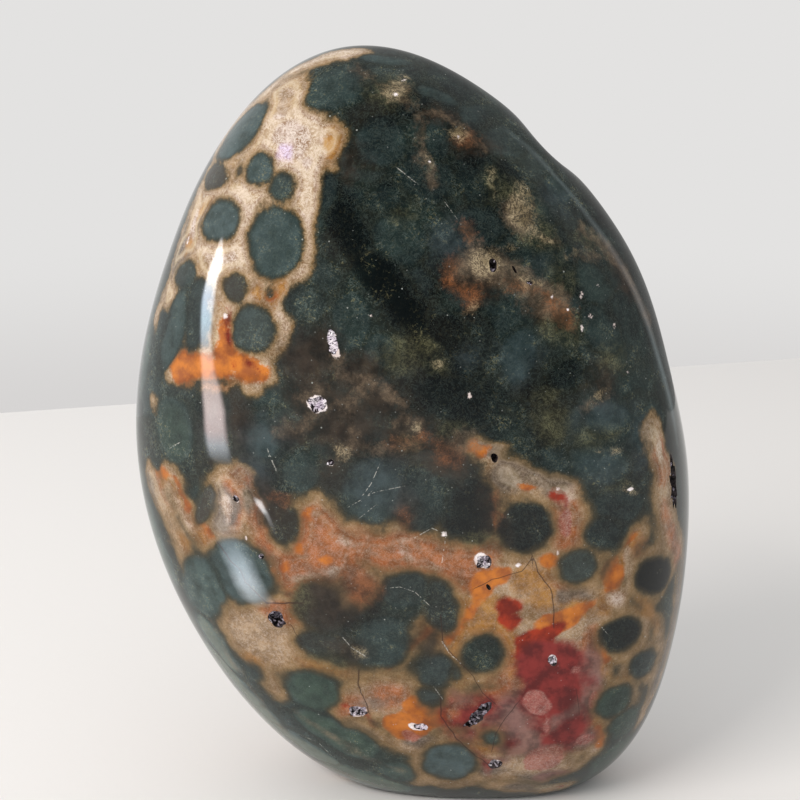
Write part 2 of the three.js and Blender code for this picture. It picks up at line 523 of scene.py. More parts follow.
@dataclass
class Druse:
    """The pits' hollows and the quartz points that line them, in millimetres.

    The hollows: `squares` along each side of a lump's grids, `roughness` and `grain` of its noise,
    and `trim`, its share of the pit's size. The points: `width`, how far they `sink` into the wall,
    the noise value above which they grow, `bare`, and that noise's cell, `clump`.
    """

    pits: tuple[Pit, ...]
    squares: int = 8
    roughness: float = 0.34
    grain: float = 0.8
    trim: float = 0.94
    width: float = 0.2
    narrow: float = 0.3
    sink: float = 0.08
    bare: float = -0.1
    clump: float = 0.55
    # Shares of a pit's depth under which points stand, and of their length that is prism.
    below: float = 0.06
    prism: float = 0.62
    # Spread of their feet, lift of their inward direction, spread of their lean and of their smoke.
    scatter: float = 0.06
    lift: float = 0.25
    lean: float = 0.4
    smoke_spread: float = 0.15
    least_rise: float = 0.05
    # Widths in `width`, short points' lengths in widths, and tall points' lengths in rooms.
    widths: Place = (0.6, 1.7)
    shorts: Place = (1.1, 2.4)
    talls: Place = (0.55, 1.0)
    # Least lengths in widths, before and after the room limits them.
    least: Place = (0.3, 0.25)
    seed: int = 5

    def hollow(self, pit: Pit, skin: Skin, number: int) -> tuple[Array, Array, Array, Array]:
        """One pit's hollow as a closed lump that stands across the surface.

        The lump is an ellipsoid whose radius is multiplied by 1 + roughness * noise.

        Args:
            pit: the pit.
            skin: the surface it is cut in.
            number: the pit's number, which picks its noise.

        Returns:
            The lump's points, its squares, its middle and its basis.
        """
        middle, normal = skin.meet(*pit.side.sight(pit.at))
        basis = basis_at(normal, pit.turn)
        directions, squares = ball_directions(self.squares)
        local = directions * (self.trim * pit.half)
        swell = 1 + self.roughness * lattice_noise(local, self.grain, Seed.PIT_WALL + number)
        return middle + (local * swell[:, None]) @ basis, squares, middle, basis

    def cutters(self, skin: Skin) -> tuple[Array, Array]:
        """All the pits' lumps as one set of points and squares."""
        points, squares, count = [], [], 0
        for number, pit in enumerate(self.pits):
            lump, ring, _, _ = self.hollow(pit, skin, number)
            points.append(lump)
            squares.append(ring + count)
            count += len(lump)
        return np.concatenate(points), np.concatenate(squares)

    def quartz_point(self) -> tuple[Array, Array]:
        """A quartz point of width and length one: a six-sided prism with a pointed tip.

        Ring corners are (cos a, sin a) / 2 at a = 60 degrees times k, at heights 0 and `prism`.
        """
        angle = np.radians(np.arange(6) * 60.0)
        ring = np.stack([np.cos(angle) / 2, np.sin(angle) / 2, 0 * angle], axis=1)
        points = np.concatenate([ring, ring + (0, 0, self.prism), [(0, 0, 1)], [(0, 0, 0)]])
        near = np.arange(6)
        far = (near + 1) % 6
        tip, foot = near * 0 + 12, near * 0 + 13
        corners = (
            (near, far, far + 6), (near, far + 6, near + 6), (near + 6, far + 6, tip), (far, near, foot),
        )
        return points, np.concatenate([np.stack(triangle, axis=1) for triangle in corners])

    def crust(self, skin: Skin) -> tuple[Array, Array, Array]:
        """The quartz points of every pit, as one set.

        Each stands on its pit's lump and leans at random from the lump's inward direction. A clear
        pit's points take most of the room up to the polished surface, a smoky pit's stay short.
        They keep to the places where a noise is above `bare`, which leaves bare wall, its dark colour
        painted shade, between.

        Returns:
            Points, triangles, and how smoky each point's pit is.
        """
        rng = np.random.default_rng(self.seed)
        template, template_faces = self.quartz_point()
        all_points, all_faces, all_smoke, count = [], [], [], 0
        for number, pit in enumerate(self.pits):
            if not pit.points:
                continue
            lump, _, middle, basis = self.hollow(pit, skin, number)
            local = (lump - middle) @ basis.T
            spread = lattice_noise(local, self.clump, Seed.CRUST + number)
            inside = np.flatnonzero((local[:, 2] < -self.below * pit.size[2]) & (spread > self.bare))
            foot = local[rng.choice(inside, pit.points)]
            foot = foot + rng.normal(0, self.scatter, (pit.points, 3))
            inward = unit(-foot / pit.half**2 + (0, 0, self.lift))
            axis = unit(inward + rng.normal(0, self.lean, foot.shape))
            widest = min(self.width, self.narrow * min(pit.size))
            width = widest * rng.uniform(*self.widths, pit.points)
            short = width * rng.uniform(*self.shorts, pit.points)
            rise = axis[:, 2]
            room = np.where(rise > self.least_rise, -foot[:, 2] / np.maximum(rise, self.least_rise), short)
            tall = np.minimum(room, pit.half[:2].max()) * rng.uniform(*self.talls, pit.points)
            length = np.maximum(tall + (short - tall) * pit.smoke, self.least[0] * width)
            length = np.minimum(length, np.maximum(room, self.least[1] * width))
            side = unit(np.cross(axis, rng.normal(0, 1, foot.shape)))
            turn = np.stack([side, np.cross(axis, side), axis], axis=1)
            scale = np.stack([width, width, length + self.sink], axis=1)
            root = foot - axis * self.sink
            shaped = np.einsum("vk,nk,nkj->nvj", template, scale, turn) + root[:, None]
            all_points.append(middle + shaped.reshape(-1, 3) @ basis)
            offsets = np.arange(pit.points)[:, None, None] * len(template) + count
            all_faces.append((template_faces[None] + offsets).reshape(-1, 3))
            smoke = np.clip(pit.smoke + rng.normal(0, self.smoke_spread, pit.points), 0, 1)
            all_smoke.append(np.repeat(smoke, len(template)))
            count += pit.points * len(template)
        return np.concatenate(all_points), np.concatenate(all_faces), np.concatenate(all_smoke)


# ---- The pattern's marks ------------------------------------------------------------------------


@dataclass(frozen=True)
class Blot:
    """An oval mark: where the camera's frame sees it, full width and height in millimetres, tilt."""

    x: float
    y: float
    wide: float
    tall: float
    tilt: float = 0.0


@dataclass(frozen=True)
class Orb(Blot):
    """A spherulite: an oval mark with a colour.

    warm runs from moss green, -0.5, through slate blue, 0, to olive brown, 1. light runs from
    near black, 0, to pale, 1, and on to a grey veil, 2, which is partly painted sheen of the lower left
    limb.
    """

    warm: float = 0.1
    light: float = 0.4


@dataclass(frozen=True)
class Vein:
    """A band, crack or scratch along places in the frame, with its full width in millimetres."""

    route: tuple[Place, ...]
    width: float


def blots(*rows: tuple[float, ...]) -> tuple[Blot, ...]:
    """Oval marks from rows of x, y, width, height and tilt."""
    return tuple(Blot(*row) for row in rows)


def veins(*rows: tuple[float, ...]) -> tuple[Vein, ...]:
    """Veins from rows of the width and then x and y of each place."""
    return tuple(Vein(tuple(zip(row[1::2], row[2::2])), row[0]) for row in rows)


class Band(Enum):
    """Kinds of marks. GROUND is the light matrix's extent, and SALMON to PINK are tones in it.

    Each covers the ones before. UMBER to CHALK are dustings of colour over the dark mass as well,
    though HAZE is partly painted reflection haze, and WHITE is bare quartz.
    """

    GROUND = 0
    SALMON = 1
    GREY = 2
    GOLD = 3
    CREAM = 4
    ORANGE = 5
    RED = 6
    MAUVE = 7
    CRIMSON = 8
    PINK = 9
    UMBER = 10
    OLIVE = 11
    RUST = 12
    HAZE = 13
    CLAY = 14
    CHALK = 15
    WHITE = 16


TONES = tuple(band for band in Band if 0 < band.value <= Band.PINK.value)
# Dustings of colour, and a bluish haze that is partly painted reflection.
DUST_AND_SHEEN = (Band.UMBER, Band.OLIVE, Band.HAZE, Band.CLAY, Band.RUST, Band.CHALK)
# The mesh carries the bands' distances in sets of three, and the seams' as the last one.
SETS = (len(Band) + 1) // 3

ORBS = tuple(Orb(*row) for row in (
    # Upper left, in cream.
    (241, 130, 7.6, 11.2, -26, 0, 0.75), (215, 177, 6.6, 4.2, -20, 0.9, 0.5),
    (237, 174, 1.4, 1.8, 0, 1, 0.4), (258, 170, 5.2, 5.2, 0, 0, 0.6), (282, 185, 4.4, 4.6, 0, 0.1, 0.3),
    (220, 222, 7.8, 6.6, 0, 0.05, 0.8), (274, 244, 8.6, 11.2, 0, 0, 0.5), (186, 276, 6, 4.6, 0, 0.3, 0.4),
    (238, 291, 4.6, 4, 0, 0.8, 0.4), (271, 294, 1.2, 1, 0, 1, 0.4), (254, 331, 6.8, 7.2, 0, 0.3, 0.5),
    (173, 330, 5.2, 13, -12, -0.1, 0.45), (196, 314, 4.6, 11, -4, 0.1, 0.2),
    (306, 305, 6.6, 5.6, 0, 0.1, 0.15),
    # Left edge.
    (172, 430, 9.4, 10.5, 0, -0.4, 0.45), (145, 360, 4, 12, 0, -0.3, 0.7), (240, 414, 4.4, 9, 4, 0.7, 0.1),
    (204, 505, 3.4, 8, -20, 1, 0.8),
    # The dark mass, upper part.
    (336, 86, 8.4, 9, -40, -0.1, 0.3), (330, 195, 3.4, 7, 0, 0, 0.15), (380, 140, 8, 9, 0, -0.1, 0.15),
    (437, 139, 4.2, 7, 0, 0, 0.15), (385, 60, 9, 3.4, -12, 0, 0.5), (437, 96, 7.5, 3.6, -30, -0.2, 0.35),
    (352, 236, 6, 12, 30, 0, -0.1), (400, 240, 8, 8, 20, -0.2, 0.2), (350, 320, 6, 9, 0, -0.2, 0.2),
    (378, 352, 5.4, 6, 0, 0, 0.25), (396, 300, 6, 22, 40, 0, -0.15), (440, 335, 9, 8, -30, 0.1, -0.05),
    (455, 400, 14, 7, -20, 0, 0), (520, 358, 6, 8.5, -20, 0, 0.35), (610, 418, 8.5, 5.5, -10, 0, 0.35),
    (600, 465, 11, 6.5, -8, 0, 0.3), (556, 460, 7, 5, -30, 0, 0.2), (560, 190, 6, 5, -45, -0.3, 0.3),
    (600, 330, 9, 6, -50, -0.2, 0.2),
    # The brown field, left of the middle.
    (300, 370, 5, 6, 0, 0.6, 0.1), (338, 434, 4.8, 4.8, 0, 0.9, 0), (290, 425, 6, 7, 0, 0.4, 0.3),
    (372, 428, 5.6, 6.4, 0, 0.2, 0.2), (378, 388, 5, 4.4, 0, 0.4, 0.3), (262, 440, 6, 6.3, 0, 0, 0.5),
    (300, 475, 6.6, 7.4, 0, -0.1, 0.3),
    # Middle row, merged.
    (372, 492, 9.4, 10.8, 0, 0, 0.3), (422, 500, 6.4, 11, 0, 0, 0.15), (469, 512, 8.4, 10.4, 0, 0, -0.1),
    (525, 528, 9.8, 8.8, 0, 0, 0), (576, 568, 7.2, 6.4, 0, 0.3, 0.4), (282, 522, 6.2, 7.6, 0, 0.5, 0),
    # Lower left. Lightness above 1 is the grey veil, partly painted sheen of the limb.
    (240, 573, 12.4, 11.4, -30, 0, 0.6), (203, 590, 10.5, 14, -30, -0.2, 0.95),
    (218, 645, 7, 14, 28, -0.2, 1.45), (160, 545, 7, 16, 15, -0.3, 1.1), (318, 608, 8.4, 9, 20, 0.5, 0.1),
    (318, 640, 7.4, 5.4, -10, 0.4, 0.2), (382, 643, 9.8, 10.2, 0, 0, 0.3),
    (408, 590, 9.4, 7.6, 0, 0.1, 0.2), (440, 606, 6, 10, 10, 0.2, 0.1),
    (312, 690, 10.6, 8.8, -8, -0.6, 0.8), (336, 736, 17, 8, -32, -0.5, 0.9),
    (290, 738, 7, 24, 50, -0.2, 1.5), (243, 690, 6.5, 22, 32, -0.2, 1.5), (360, 778, 8, 18, 70, -0.4, 1.35),
    (380, 756, 3, 2.6, 0, 0.3, 0.5), (396, 774, 7, 8, 0, -0.3, 1.1), (448, 763, 8.8, 10.5, -12, 0.05, 1),
    # Lower middle.
    (482, 655, 7.8, 8.2, 0, -0.6, 0.1), (436, 672, 6.8, 8, 0, 0.1, 0.3), (430, 697, 4.6, 4, 0, 0.3, 0.4),
    (456, 675, 3, 4, 40, 0.3, 0.4), (491, 738, 3.6, 3.6, 0, -0.2, 0.6),
    # Lower right.
    (656, 576, 9.6, 7.6, -6, 0, -0.15), (621, 635, 8.2, 7.6, 0, -0.2, 0),
    (644, 664, 7.6, 6.2, -20, 0, 0.15), (615, 702, 8.2, 7.6, 0, -0.5, 0.4),
    (624, 726, 7.6, 8, 20, -0.7, 0.5), (612, 758, 10, 9, 40, -0.9, 0.6), (588, 782, 8, 7, 40, -0.9, 0.6),
    (620, 505, 9, 7, 0, 0, 0.15), (600, 535, 6, 6, 0, 0, 0.1),
))

MARKS: dict[Band, tuple[Blot | Vein, ...]] = {
    Band.GROUND: blots(
        (282, 102, 9, 11), (290, 142, 12, 13), (302, 178, 7, 13), (319, 142, 6, 6), (327, 140, 5, 7),
        (243, 130, 13, 14), (304, 110, 6, 7), (192, 234, 8, 17, -18), (178, 272, 6, 12, -18),
        (234, 182, 17, 10), (222, 222, 13, 12), (278, 245, 10.4, 14.5), (300, 205, 4, 8), (222, 262, 15, 9),
        (240, 290, 10, 8), (270, 292, 7, 7), (254, 332, 10, 11), (243, 312, 6, 6), (184, 366, 7.6, 7.6),
        (222, 345, 5, 8), (344, 57, 2.6, 3.4), (506, 478, 6, 7), (526, 530, 12.2, 11), (576, 568, 9.2, 8.2),
        (547, 560, 5, 4), (312, 530, 9, 11), (298, 570, 9, 8), (332, 556, 10, 9), (358, 580, 6, 8),
        (470, 560, 7, 8), (486, 553, 7, 7), (498, 586, 12, 10), (532, 588, 13, 10), (226, 505, 8.5, 13),
        (155, 406, 1.6, 2), (262, 636, 14, 13), (290, 612, 8, 6), (385, 697, 14, 9.5), (354, 702, 7, 6),
        (408, 722, 9, 7), (420, 742, 8, 6), (448, 762, 11.5, 14), (483, 642, 15, 16), (484, 615, 14, 9),
        (516, 655, 9, 16), (462, 712, 9, 8), (500, 715, 11, 11), (480, 765, 12, 9), (491, 738, 9, 8),
        (530, 765, 15, 10), (560, 600, 14, 9), (555, 660, 17, 18), (545, 720, 17, 18), (590, 690, 8, 18),
        (590, 640, 9, 14), (580, 735, 9, 10), (618, 598, 6, 5), (622, 636, 10.6, 10.6),
        (644, 664, 9.8, 8.4), (614, 702, 10.4, 9.8), (655, 574, 11.6, 9.6),
    ) + veins(
        (4.2, 354, 53, 328, 57, 303, 66, 280, 80, 262, 97), (1.2, 326, 150, 337, 165),
        (5, 222, 158, 204, 188, 194, 210, 184, 240), (1.6, 200, 252, 178, 272, 163, 298, 155, 322),
        (2.4, 300, 270, 290, 300, 283, 325, 277, 350, 262, 372), (3.2, 222, 305, 222, 335, 216, 362),
        (5, 174, 367, 200, 367, 222, 362, 262, 368), (2.6, 204, 386, 228, 388, 256, 385),
        (0.7, 184, 300, 182, 330, 179, 352), (2.6, 474, 446, 490, 455, 514, 466, 536, 480, 560, 492),
        (2.4, 518, 490, 548, 492), (5, 564, 496, 571, 518, 567, 545),
        (6.2, 338, 548, 372, 547, 410, 550, 445, 562, 482, 574), (1.8, 350, 533, 388, 523, 428, 534),
        (4.2, 240, 476, 248, 508, 257, 536, 282, 556), (4.6, 150, 472, 164, 502, 178, 536, 190, 562),
        (4.2, 168, 474, 184, 504, 206, 540), (4.5, 230, 612, 262, 640), (2.6, 260, 656, 276, 690),
        (2.6, 298, 660, 344, 670, 372, 676), (3, 240, 600, 262, 612),
        (2, 388, 668, 405, 652, 430, 628, 455, 610), (2.6, 358, 722, 380, 738, 404, 744, 432, 742),
        (2.4, 420, 750, 418, 782), (2.6, 490, 785, 530, 788, 566, 786),
        (3.8, 592, 606, 610, 585, 622, 560, 637, 537),
        (2.4, 640, 598, 656, 620, 660, 650, 652, 690, 640, 722),
        (5, 650, 430, 658, 448, 665, 470, 662, 500, 668, 522, 678, 556),
        (3.4, 681, 566, 677, 600, 668, 645, 656, 685), (2, 578, 766, 592, 750, 602, 738),
    ),
    Band.SALMON: blots(
        (316, 536, 8, 10), (292, 574, 8, 8), (333, 552, 8, 9), (358, 584, 5, 8), (460, 566, 7, 7),
        (276, 612, 5, 4), (390, 696, 7, 6), (356, 704, 5, 4.4), (290, 612, 5.5, 4), (592, 650, 4, 8),
        (662, 462, 4, 8), (492, 272, 4, 2.6), (218, 376, 8, 4), (404, 430, 6, 5), (229, 506, 5, 9),
        (485, 552, 5, 5), (560, 590, 5, 3), (490, 628, 6, 3), (300, 140, 6, 7), (226, 385, 3, 2),
        (458, 712, 6, 7), (470, 745, 5, 6), (505, 690, 6, 6),
    ) + veins(
        (6.6, 336, 552, 372, 548, 410, 550, 445, 562, 478, 576), (4, 238, 478, 250, 500, 262, 530),
        (2.4, 506, 640, 515, 664, 506, 690, 486, 700), (4.2, 566, 498, 571, 518, 567, 543),
        (2.6, 664, 506, 672, 530, 680, 565), (2.8, 500, 276, 530, 294, 556, 310),
        (2.6, 240, 478, 248, 510, 262, 545), (2.4, 160, 478, 180, 508, 204, 534),
        (2.4, 430, 696, 448, 712, 456, 730), (2, 474, 700, 500, 712, 512, 726),
    ),
    Band.GREY: blots(
        (508, 478, 5, 5), (222, 508, 5, 8), (566, 598, 7, 3.4), (562, 714, 3.6, 3.6), (510, 720, 5, 8),
        (420, 738, 6, 4), (528, 787, 9, 3), (448, 762, 10, 8), (372, 702, 5, 3), (486, 266, 5, 4, -30),
        (190, 234, 5, 14, -18), (396, 756, 6, 4), (395, 88, 5, 4), (484, 768, 6, 5), (540, 780, 8, 5),
        (594, 690, 4, 6), (246, 500, 2, 4),
    ) + veins(
        (4, 488, 450, 514, 464, 536, 477, 560, 488), (2.4, 148, 480, 160, 520, 180, 570),
        (3.4, 681, 566, 677, 600, 668, 645, 652, 690),
        (2.6, 398, 92, 412, 110, 420, 132, 424, 158, 430, 182), (1.6, 420, 114, 448, 118, 466, 138),
        (3, 352, 724, 372, 742),
    ),
    Band.GOLD: blots(
        (483, 618, 11, 6), (530, 580, 6, 5), (540, 600, 5, 4), (578, 606, 6, 3), (491, 738, 6.4, 6),
        (246, 660, 5, 4), (432, 630, 4, 5), (272, 294, 6, 5), (325, 147, 5, 6),
    ) + veins(
        (2, 456, 630, 452, 655, 460, 684), (2.2, 508, 628, 522, 650, 518, 690),
        (2.4, 166, 478, 182, 508, 198, 536), (3, 600, 604, 614, 580, 634, 540),
        (2, 596, 660, 606, 672, 628, 674), (2, 172, 490, 186, 520, 190, 556),
        (2.4, 592, 690, 594, 716, 604, 742), (2, 216, 190, 196, 216, 188, 245), (2, 300, 663, 344, 671),
        (2, 640, 600, 656, 622),
    ),
    Band.CREAM: blots(
        (292, 136, 10, 11), (304, 172, 6, 9), (243, 210, 5, 8), (252, 200, 8, 2.4), (302, 205, 3, 5),
        (299, 278, 3, 3), (238, 256, 4, 4), (404, 80, 1.6, 1.4), (344, 57, 2.2, 3),
        (617, 598, 3.6, 2.6, -20), (574, 495, 2.6, 1.8), (155, 406, 1.4, 1.6), (250, 386, 2.4, 1.6),
        (350, 544, 2.4, 1), (224, 508, 1.2, 6), (494, 264, 1.4, 2.2), (484, 464, 3, 2),
        (658, 448, 1.6, 4, 12),
    ) + veins(
        (1.6, 352, 52, 320, 58, 292, 72), (1.2, 258, 150, 282, 160),
        (1.2, 306, 205, 306, 240, 304, 270, 299, 285),
        (1.5, 299, 282, 288, 305, 283, 328, 274, 352, 262, 370),
        (1.3, 244, 205, 242, 240, 250, 262, 268, 286), (1.2, 206, 196, 222, 196, 242, 198),
        (1, 254, 300, 232, 308), (1.3, 198, 206, 192, 230, 202, 250, 222, 256),
        (0.3, 200, 252, 178, 272, 163, 298, 155, 322), (1.6, 206, 165, 198, 192),
        (1.2, 268, 88, 284, 84, 298, 94, 318, 116), (1.2, 593, 751, 606, 740), (1, 606, 672, 622, 669),
        (2.6, 168, 490, 180, 512, 190, 528), (0.6, 628, 604, 646, 626, 650, 642, 640, 658),
        (0.1, 344, 546, 362, 541, 378, 533, 397, 540, 422, 538),
        (0.1, 283, 592, 297, 582, 313, 575, 344, 569, 374, 559), (0.1, 302, 736, 318, 742, 331, 753),
        (0.2, 402, 546, 424, 566, 450, 572), (1.2, 624, 552, 630, 562, 626, 584),
        (0.8, 636, 690, 640, 712, 632, 736),
    ),
    Band.ORANGE: blots(
        (185, 365, 6.4, 7.6), (224, 352, 4.6, 8.6), (252, 368, 5.4, 3.6), (307, 520, 1.6, 4),
        (300, 548, 2, 3), (286, 566, 2, 2), (230, 482, 2, 1.6), (482, 588, 3.4, 5.2, -8),
        (495, 577, 5.4, 2.6, 22), (408, 725, 7, 5), (432, 714, 4, 3.6), (416, 708, 3.6, 2.6),
        (529, 489, 3.8, 1.3, -6), (547, 560, 2.8, 2.2, 35), (612, 576, 4.8, 5), (558, 622, 6, 4.4, 25),
        (462, 446, 3.6, 2.6), (478, 450, 1.8, 2.2), (272, 298, 2.4, 2), (286, 602, 1.4, 2),
        (328, 560, 3, 2),
    ) + veins(
        (4, 200, 366, 224, 368), (1.5, 160, 468, 174, 476, 184, 494, 192, 512, 204, 526, 213, 537),
        (1.2, 480, 604, 470, 617, 456, 624), (1.8, 446, 640, 458, 626), (1.4, 609, 566, 622, 548, 636, 538),
        (1.8, 606, 590, 594, 602, 584, 606), (1.4, 543, 630, 564, 615, 583, 606), (1.8, 597, 730, 597, 746),
        (1, 600, 640, 605, 664), (1, 390, 666, 406, 651, 428, 630),
    ),
    Band.RED: blots(
        (509, 608, 3.4, 2.8, 20), (511, 621, 3.8, 2.4), (536, 642, 5, 4.4), (532, 655, 4.4, 5),
        (550, 633, 5, 2.6, 25), (345, 703, 1.8, 1), (560, 786, 3, 1.2), (558, 498, 2.6, 1.6),
        (288, 594, 1.4, 1.2),
    ) + veins(
        (1.1, 222, 308, 232, 312, 228, 322, 230, 338), (0.3, 246, 362, 262, 370),
        (0.9, 230, 338, 232, 354, 238, 366), (1, 490, 700, 484, 714), (0.5, 372, 716, 374, 726),
    ),
    Band.MAUVE: blots(
        (590, 672, 5, 10), (586, 705, 6, 10), (580, 740, 7, 6), (572, 676, 7, 7), (514, 712, 6, 9),
        (522, 745, 9, 6), (563, 714, 7, 9), (512, 730, 10, 12), (500, 760, 4, 3), (556, 775, 8, 3),
        (262, 556, 2.6, 3), (470, 735, 3, 4),
    ) + veins(
        (1.6, 444, 690, 462, 700, 474, 696),
    ),
    Band.CRIMSON: blots(
        (544, 668, 8.6, 10), (552, 694, 10, 9), (570, 730, 6, 8), (564, 664, 5, 6), (544, 720, 3, 7),
        (556, 738, 5, 4), (478, 713, 7.5, 4, 40), (458, 722, 3, 2), (566, 505, 1.2, 1.6),
        (514, 742, 3, 1.6), (530, 700, 2.6, 4),
    ) + veins(
        (1.6, 576, 660, 590, 684), (1.2, 578, 700, 584, 730, 572, 748),
        (1.3, 440, 700, 441, 718, 455, 738, 475, 756, 488, 768),
        (1.1, 456, 720, 468, 732, 482, 738, 486, 726, 500, 712), (1.2, 478, 700, 496, 706, 520, 700),
        (1, 482, 762, 488, 776, 500, 778),
    ),
    Band.PINK: blots(
        (545, 759, 6.8, 5, 22), (536, 702, 3.4, 5.4, 28), (578, 672, 1.8, 1.4), (530, 768, 2.6, 1.6, 10),
        (265, 556, 1.4, 1.6), (412, 734, 3.6, 1.6, -20), (545, 725, 1.6, 3), (592, 700, 1, 3),
        (568, 522, 2.4, 5), (448, 700, 2, 2), (584, 742, 2, 2),
    ),
    Band.UMBER: blots(
        (312, 355, 10, 8), (312, 392, 9, 8), (340, 425, 11, 10), (356, 376, 8, 7), (408, 436, 8, 8),
        (382, 405, 8, 6), (331, 464, 4, 5), (295, 432, 6, 4), (450, 462, 7, 6), (403, 512, 3, 5),
        (430, 638, 5, 4), (604, 380, 4, 6), (262, 505, 4, 6), (478, 285, 6, 5), (474, 145, 6, 4),
        (330, 600, 9, 8), (345, 650, 6, 5), (364, 592, 5, 6), (550, 312, 5, 3), (245, 430, 4, 8),
        (444, 118, 6, 2), (352, 160, 2.4, 6), (622, 275, 3, 9),
    ) + veins(
        (2, 494, 480, 495, 542),
    ),
    Band.OLIVE: blots(
        (398, 354, 6, 5), (490, 182, 3, 4), (590, 240, 5, 3.4, -30), (556, 425, 5, 6), (408, 216, 3, 3),
        (560, 330, 6, 4), (600, 436, 7, 3), (450, 428, 3, 3), (560, 275, 4, 5), (425, 346, 4, 3),
        (440, 362, 3, 2), (548, 395, 3, 2), (610, 358, 4, 3), (480, 540, 6, 3), (620, 486, 6, 1.6),
        (406, 445, 4, 2), (325, 660, 6, 3), (392, 92, 7, 6), (300, 600, 3, 6),
    ) + veins(
        (2, 528, 236, 556, 244), (2.4, 505, 190, 530, 200, 550, 240),
    ),
    Band.RUST: blots(
        (447, 272, 2.8, 5), (473, 300, 2.2, 3.4), (466, 140, 3.4, 2.4), (495, 510, 0.8, 6),
        (450, 455, 4, 3), (404, 515, 1, 2), (640, 548, 3, 3), (278, 498, 4, 1.2), (364, 590, 4, 5),
        (565, 320, 2, 2.6),
    ) + veins(
        (1.1, 516, 286, 532, 292, 550, 304, 566, 322), (1, 450, 284, 466, 296), (1, 392, 446, 420, 440),
        (0.8, 463, 224, 474, 242),
    ),
    # Bluish haze over the dark mass, partly painted reflection haze of the bright room.
    Band.HAZE: blots(
        (520, 358, 6, 8, -15), (605, 415, 7, 4), (466, 358, 3, 2.4), (380, 490, 8, 8), (540, 268, 3, 3),
        (600, 465, 9, 4), (262, 440, 6, 5), (640, 440, 4, 8), (560, 195, 5, 4), (455, 240, 6, 5),
        (250, 470, 5, 5),
    ),
    Band.CLAY: blots(
        (500, 272, 12, 5, -20), (540, 298, 10, 5, -30), (462, 268, 4, 3), (392, 90, 4, 3),
        (488, 266, 4.6, 3.6, -20), (520, 216, 5, 7, 15), (464, 444, 5, 3),
    ) + veins(
        (0.6, 402, 98, 413, 110, 420, 120, 419, 136, 422, 152, 427, 166, 431, 182),
        (0.8, 420, 114, 440, 114, 462, 128, 480, 150), (0.6, 466, 230, 476, 246, 486, 262),
        (1.6, 500, 278, 526, 292, 550, 304, 568, 322), (1.2, 586, 232, 611, 252, 630, 282, 648, 318),
        (1, 336, 354, 345, 373, 362, 381, 362, 395, 352, 408, 330, 411),
        (0.9, 362, 381, 384, 389, 400, 404), (1.2, 311, 412, 300, 430, 276, 434),
        (0.9, 347, 412, 352, 430, 352, 444, 345, 455, 333, 464), (0.6, 300, 392, 324, 389),
        (0.7, 352, 452, 380, 452, 405, 446, 419, 444), (0.5, 392, 430, 400, 418, 418, 424),
        (1, 538, 236, 558, 244), (0.3, 566, 257, 598, 257), (0.6, 586, 404, 599, 391, 610, 396),
        (0.3, 352, 70, 370, 76, 386, 88), (0.5, 296, 712, 330, 738, 366, 756, 400, 772),
        (0.6, 212, 622, 236, 664, 262, 704, 300, 748), (0.8, 300, 752, 330, 768, 372, 784),
    ),
    Band.CHALK: blots(
        (393, 93, 4, 2.2), (522, 190, 3, 1.6, -35), (521, 212, 2.8, 5), (544, 238, 4.4, 1.8, -25),
        (530, 226, 3, 2.2, -40), (600, 393, 3.2, 0.9, 10), (458, 134, 1.6, 0.8), (427, 162, 1, 1),
        (492, 182, 1.2, 2), (484, 264, 3.4, 2.6), (346, 454, 1.2, 1), (530, 282, 3.2, 0.8, -30),
        (632, 492, 3, 0.8, -15), (356, 648, 3, 1.6, -35), (545, 786, 4, 1.4), (572, 256, 3.4, 0.8, 25),
        (612, 450, 5, 0.8), (404, 79, 1.8, 1.4), (440, 362, 2, 0.8), (510, 248, 2, 1), (474, 308, 1.4, 2),
        (416, 430, 1, 1.4),
    ),
    Band.WHITE: blots(
        (225, 316, 0.8, 0.9), (558, 489, 0.6, 0.6), (518, 565, 0.9, 0.7), (581, 295, 0.9, 0.6, 30),
        (568, 309, 0.4, 0.4), (598, 286, 0.5, 0.4), (552, 297, 0.4, 0.4), (469, 396, 0.4, 1),
        (188, 240, 0.5, 1.1), (432, 321, 0.25, 0.25), (372, 316, 0.3, 0.3), (558, 553, 0.5, 0.7),
        (246, 538, 0.3, 0.8), (444, 534, 1, 0.8, 20), (395, 94, 0.9, 0.7), (590, 315, 0.7, 0.4),
        (582, 327, 0.5, 1.1), (614, 326, 0.6, 0.7), (628, 372, 1, 0.35, -40), (630, 489, 1.4, 0.4),
        (404, 80, 0.8, 0.7), (416, 727, 2.6, 1.2, -20), (480, 559, 1.5, 1.8), (429, 162, 0.5, 0.4),
        (458, 137, 0.4, 0.4),
    ) + veins(
        (0.2, 334, 347, 338, 356),
    ),
}

CRACKS = veins(
    (0.26, 219, 544, 232, 562, 241, 570, 245, 582, 253, 589, 266, 603, 300, 603),
    (0.12, 292, 627, 300, 640), (0.22, 359, 672, 358, 685, 365, 701, 369, 712),
    (0.16, 441, 617, 443, 643, 459, 662, 473, 676, 482, 693, 494, 703),
    (0.22, 441, 699, 441, 716, 457, 739, 476, 756, 488, 764),
    (0.2, 533, 557, 538, 572, 551, 590, 553, 603, 554, 626),
    (0.14, 533, 557, 522, 571, 507, 575, 492, 580, 478, 587),
    (0.14, 517, 704, 505, 718, 496, 733, 492, 750), (0.12, 577, 693, 579, 712),
)

SCRATCHES = veins(
    (0.12, 360, 499, 371, 484, 378, 468), (0.1, 352, 505, 375, 492, 400, 487),
    (0.12, 416, 537, 432, 528, 447, 535), (0.14, 446, 535, 442, 562), (0.14, 400, 170, 414, 181),
    (0.1, 447, 205, 455, 216), (0.18, 172, 447, 179, 443), (0.2, 269, 453, 275, 468),
    (0.2, 443, 643, 450, 654, 459, 662), (0.16, 345, 640, 352, 648, 365, 656),
    (0.14, 303, 736, 318, 742, 330, 754), (0.1, 388, 588, 400, 587, 415, 592, 428, 604),
    (0.14, 600, 625, 605, 631), (0.16, 436, 690, 441, 697), (0.1, 362, 516, 372, 508),
)

OvalParts = tuple[Array, Array, Array]


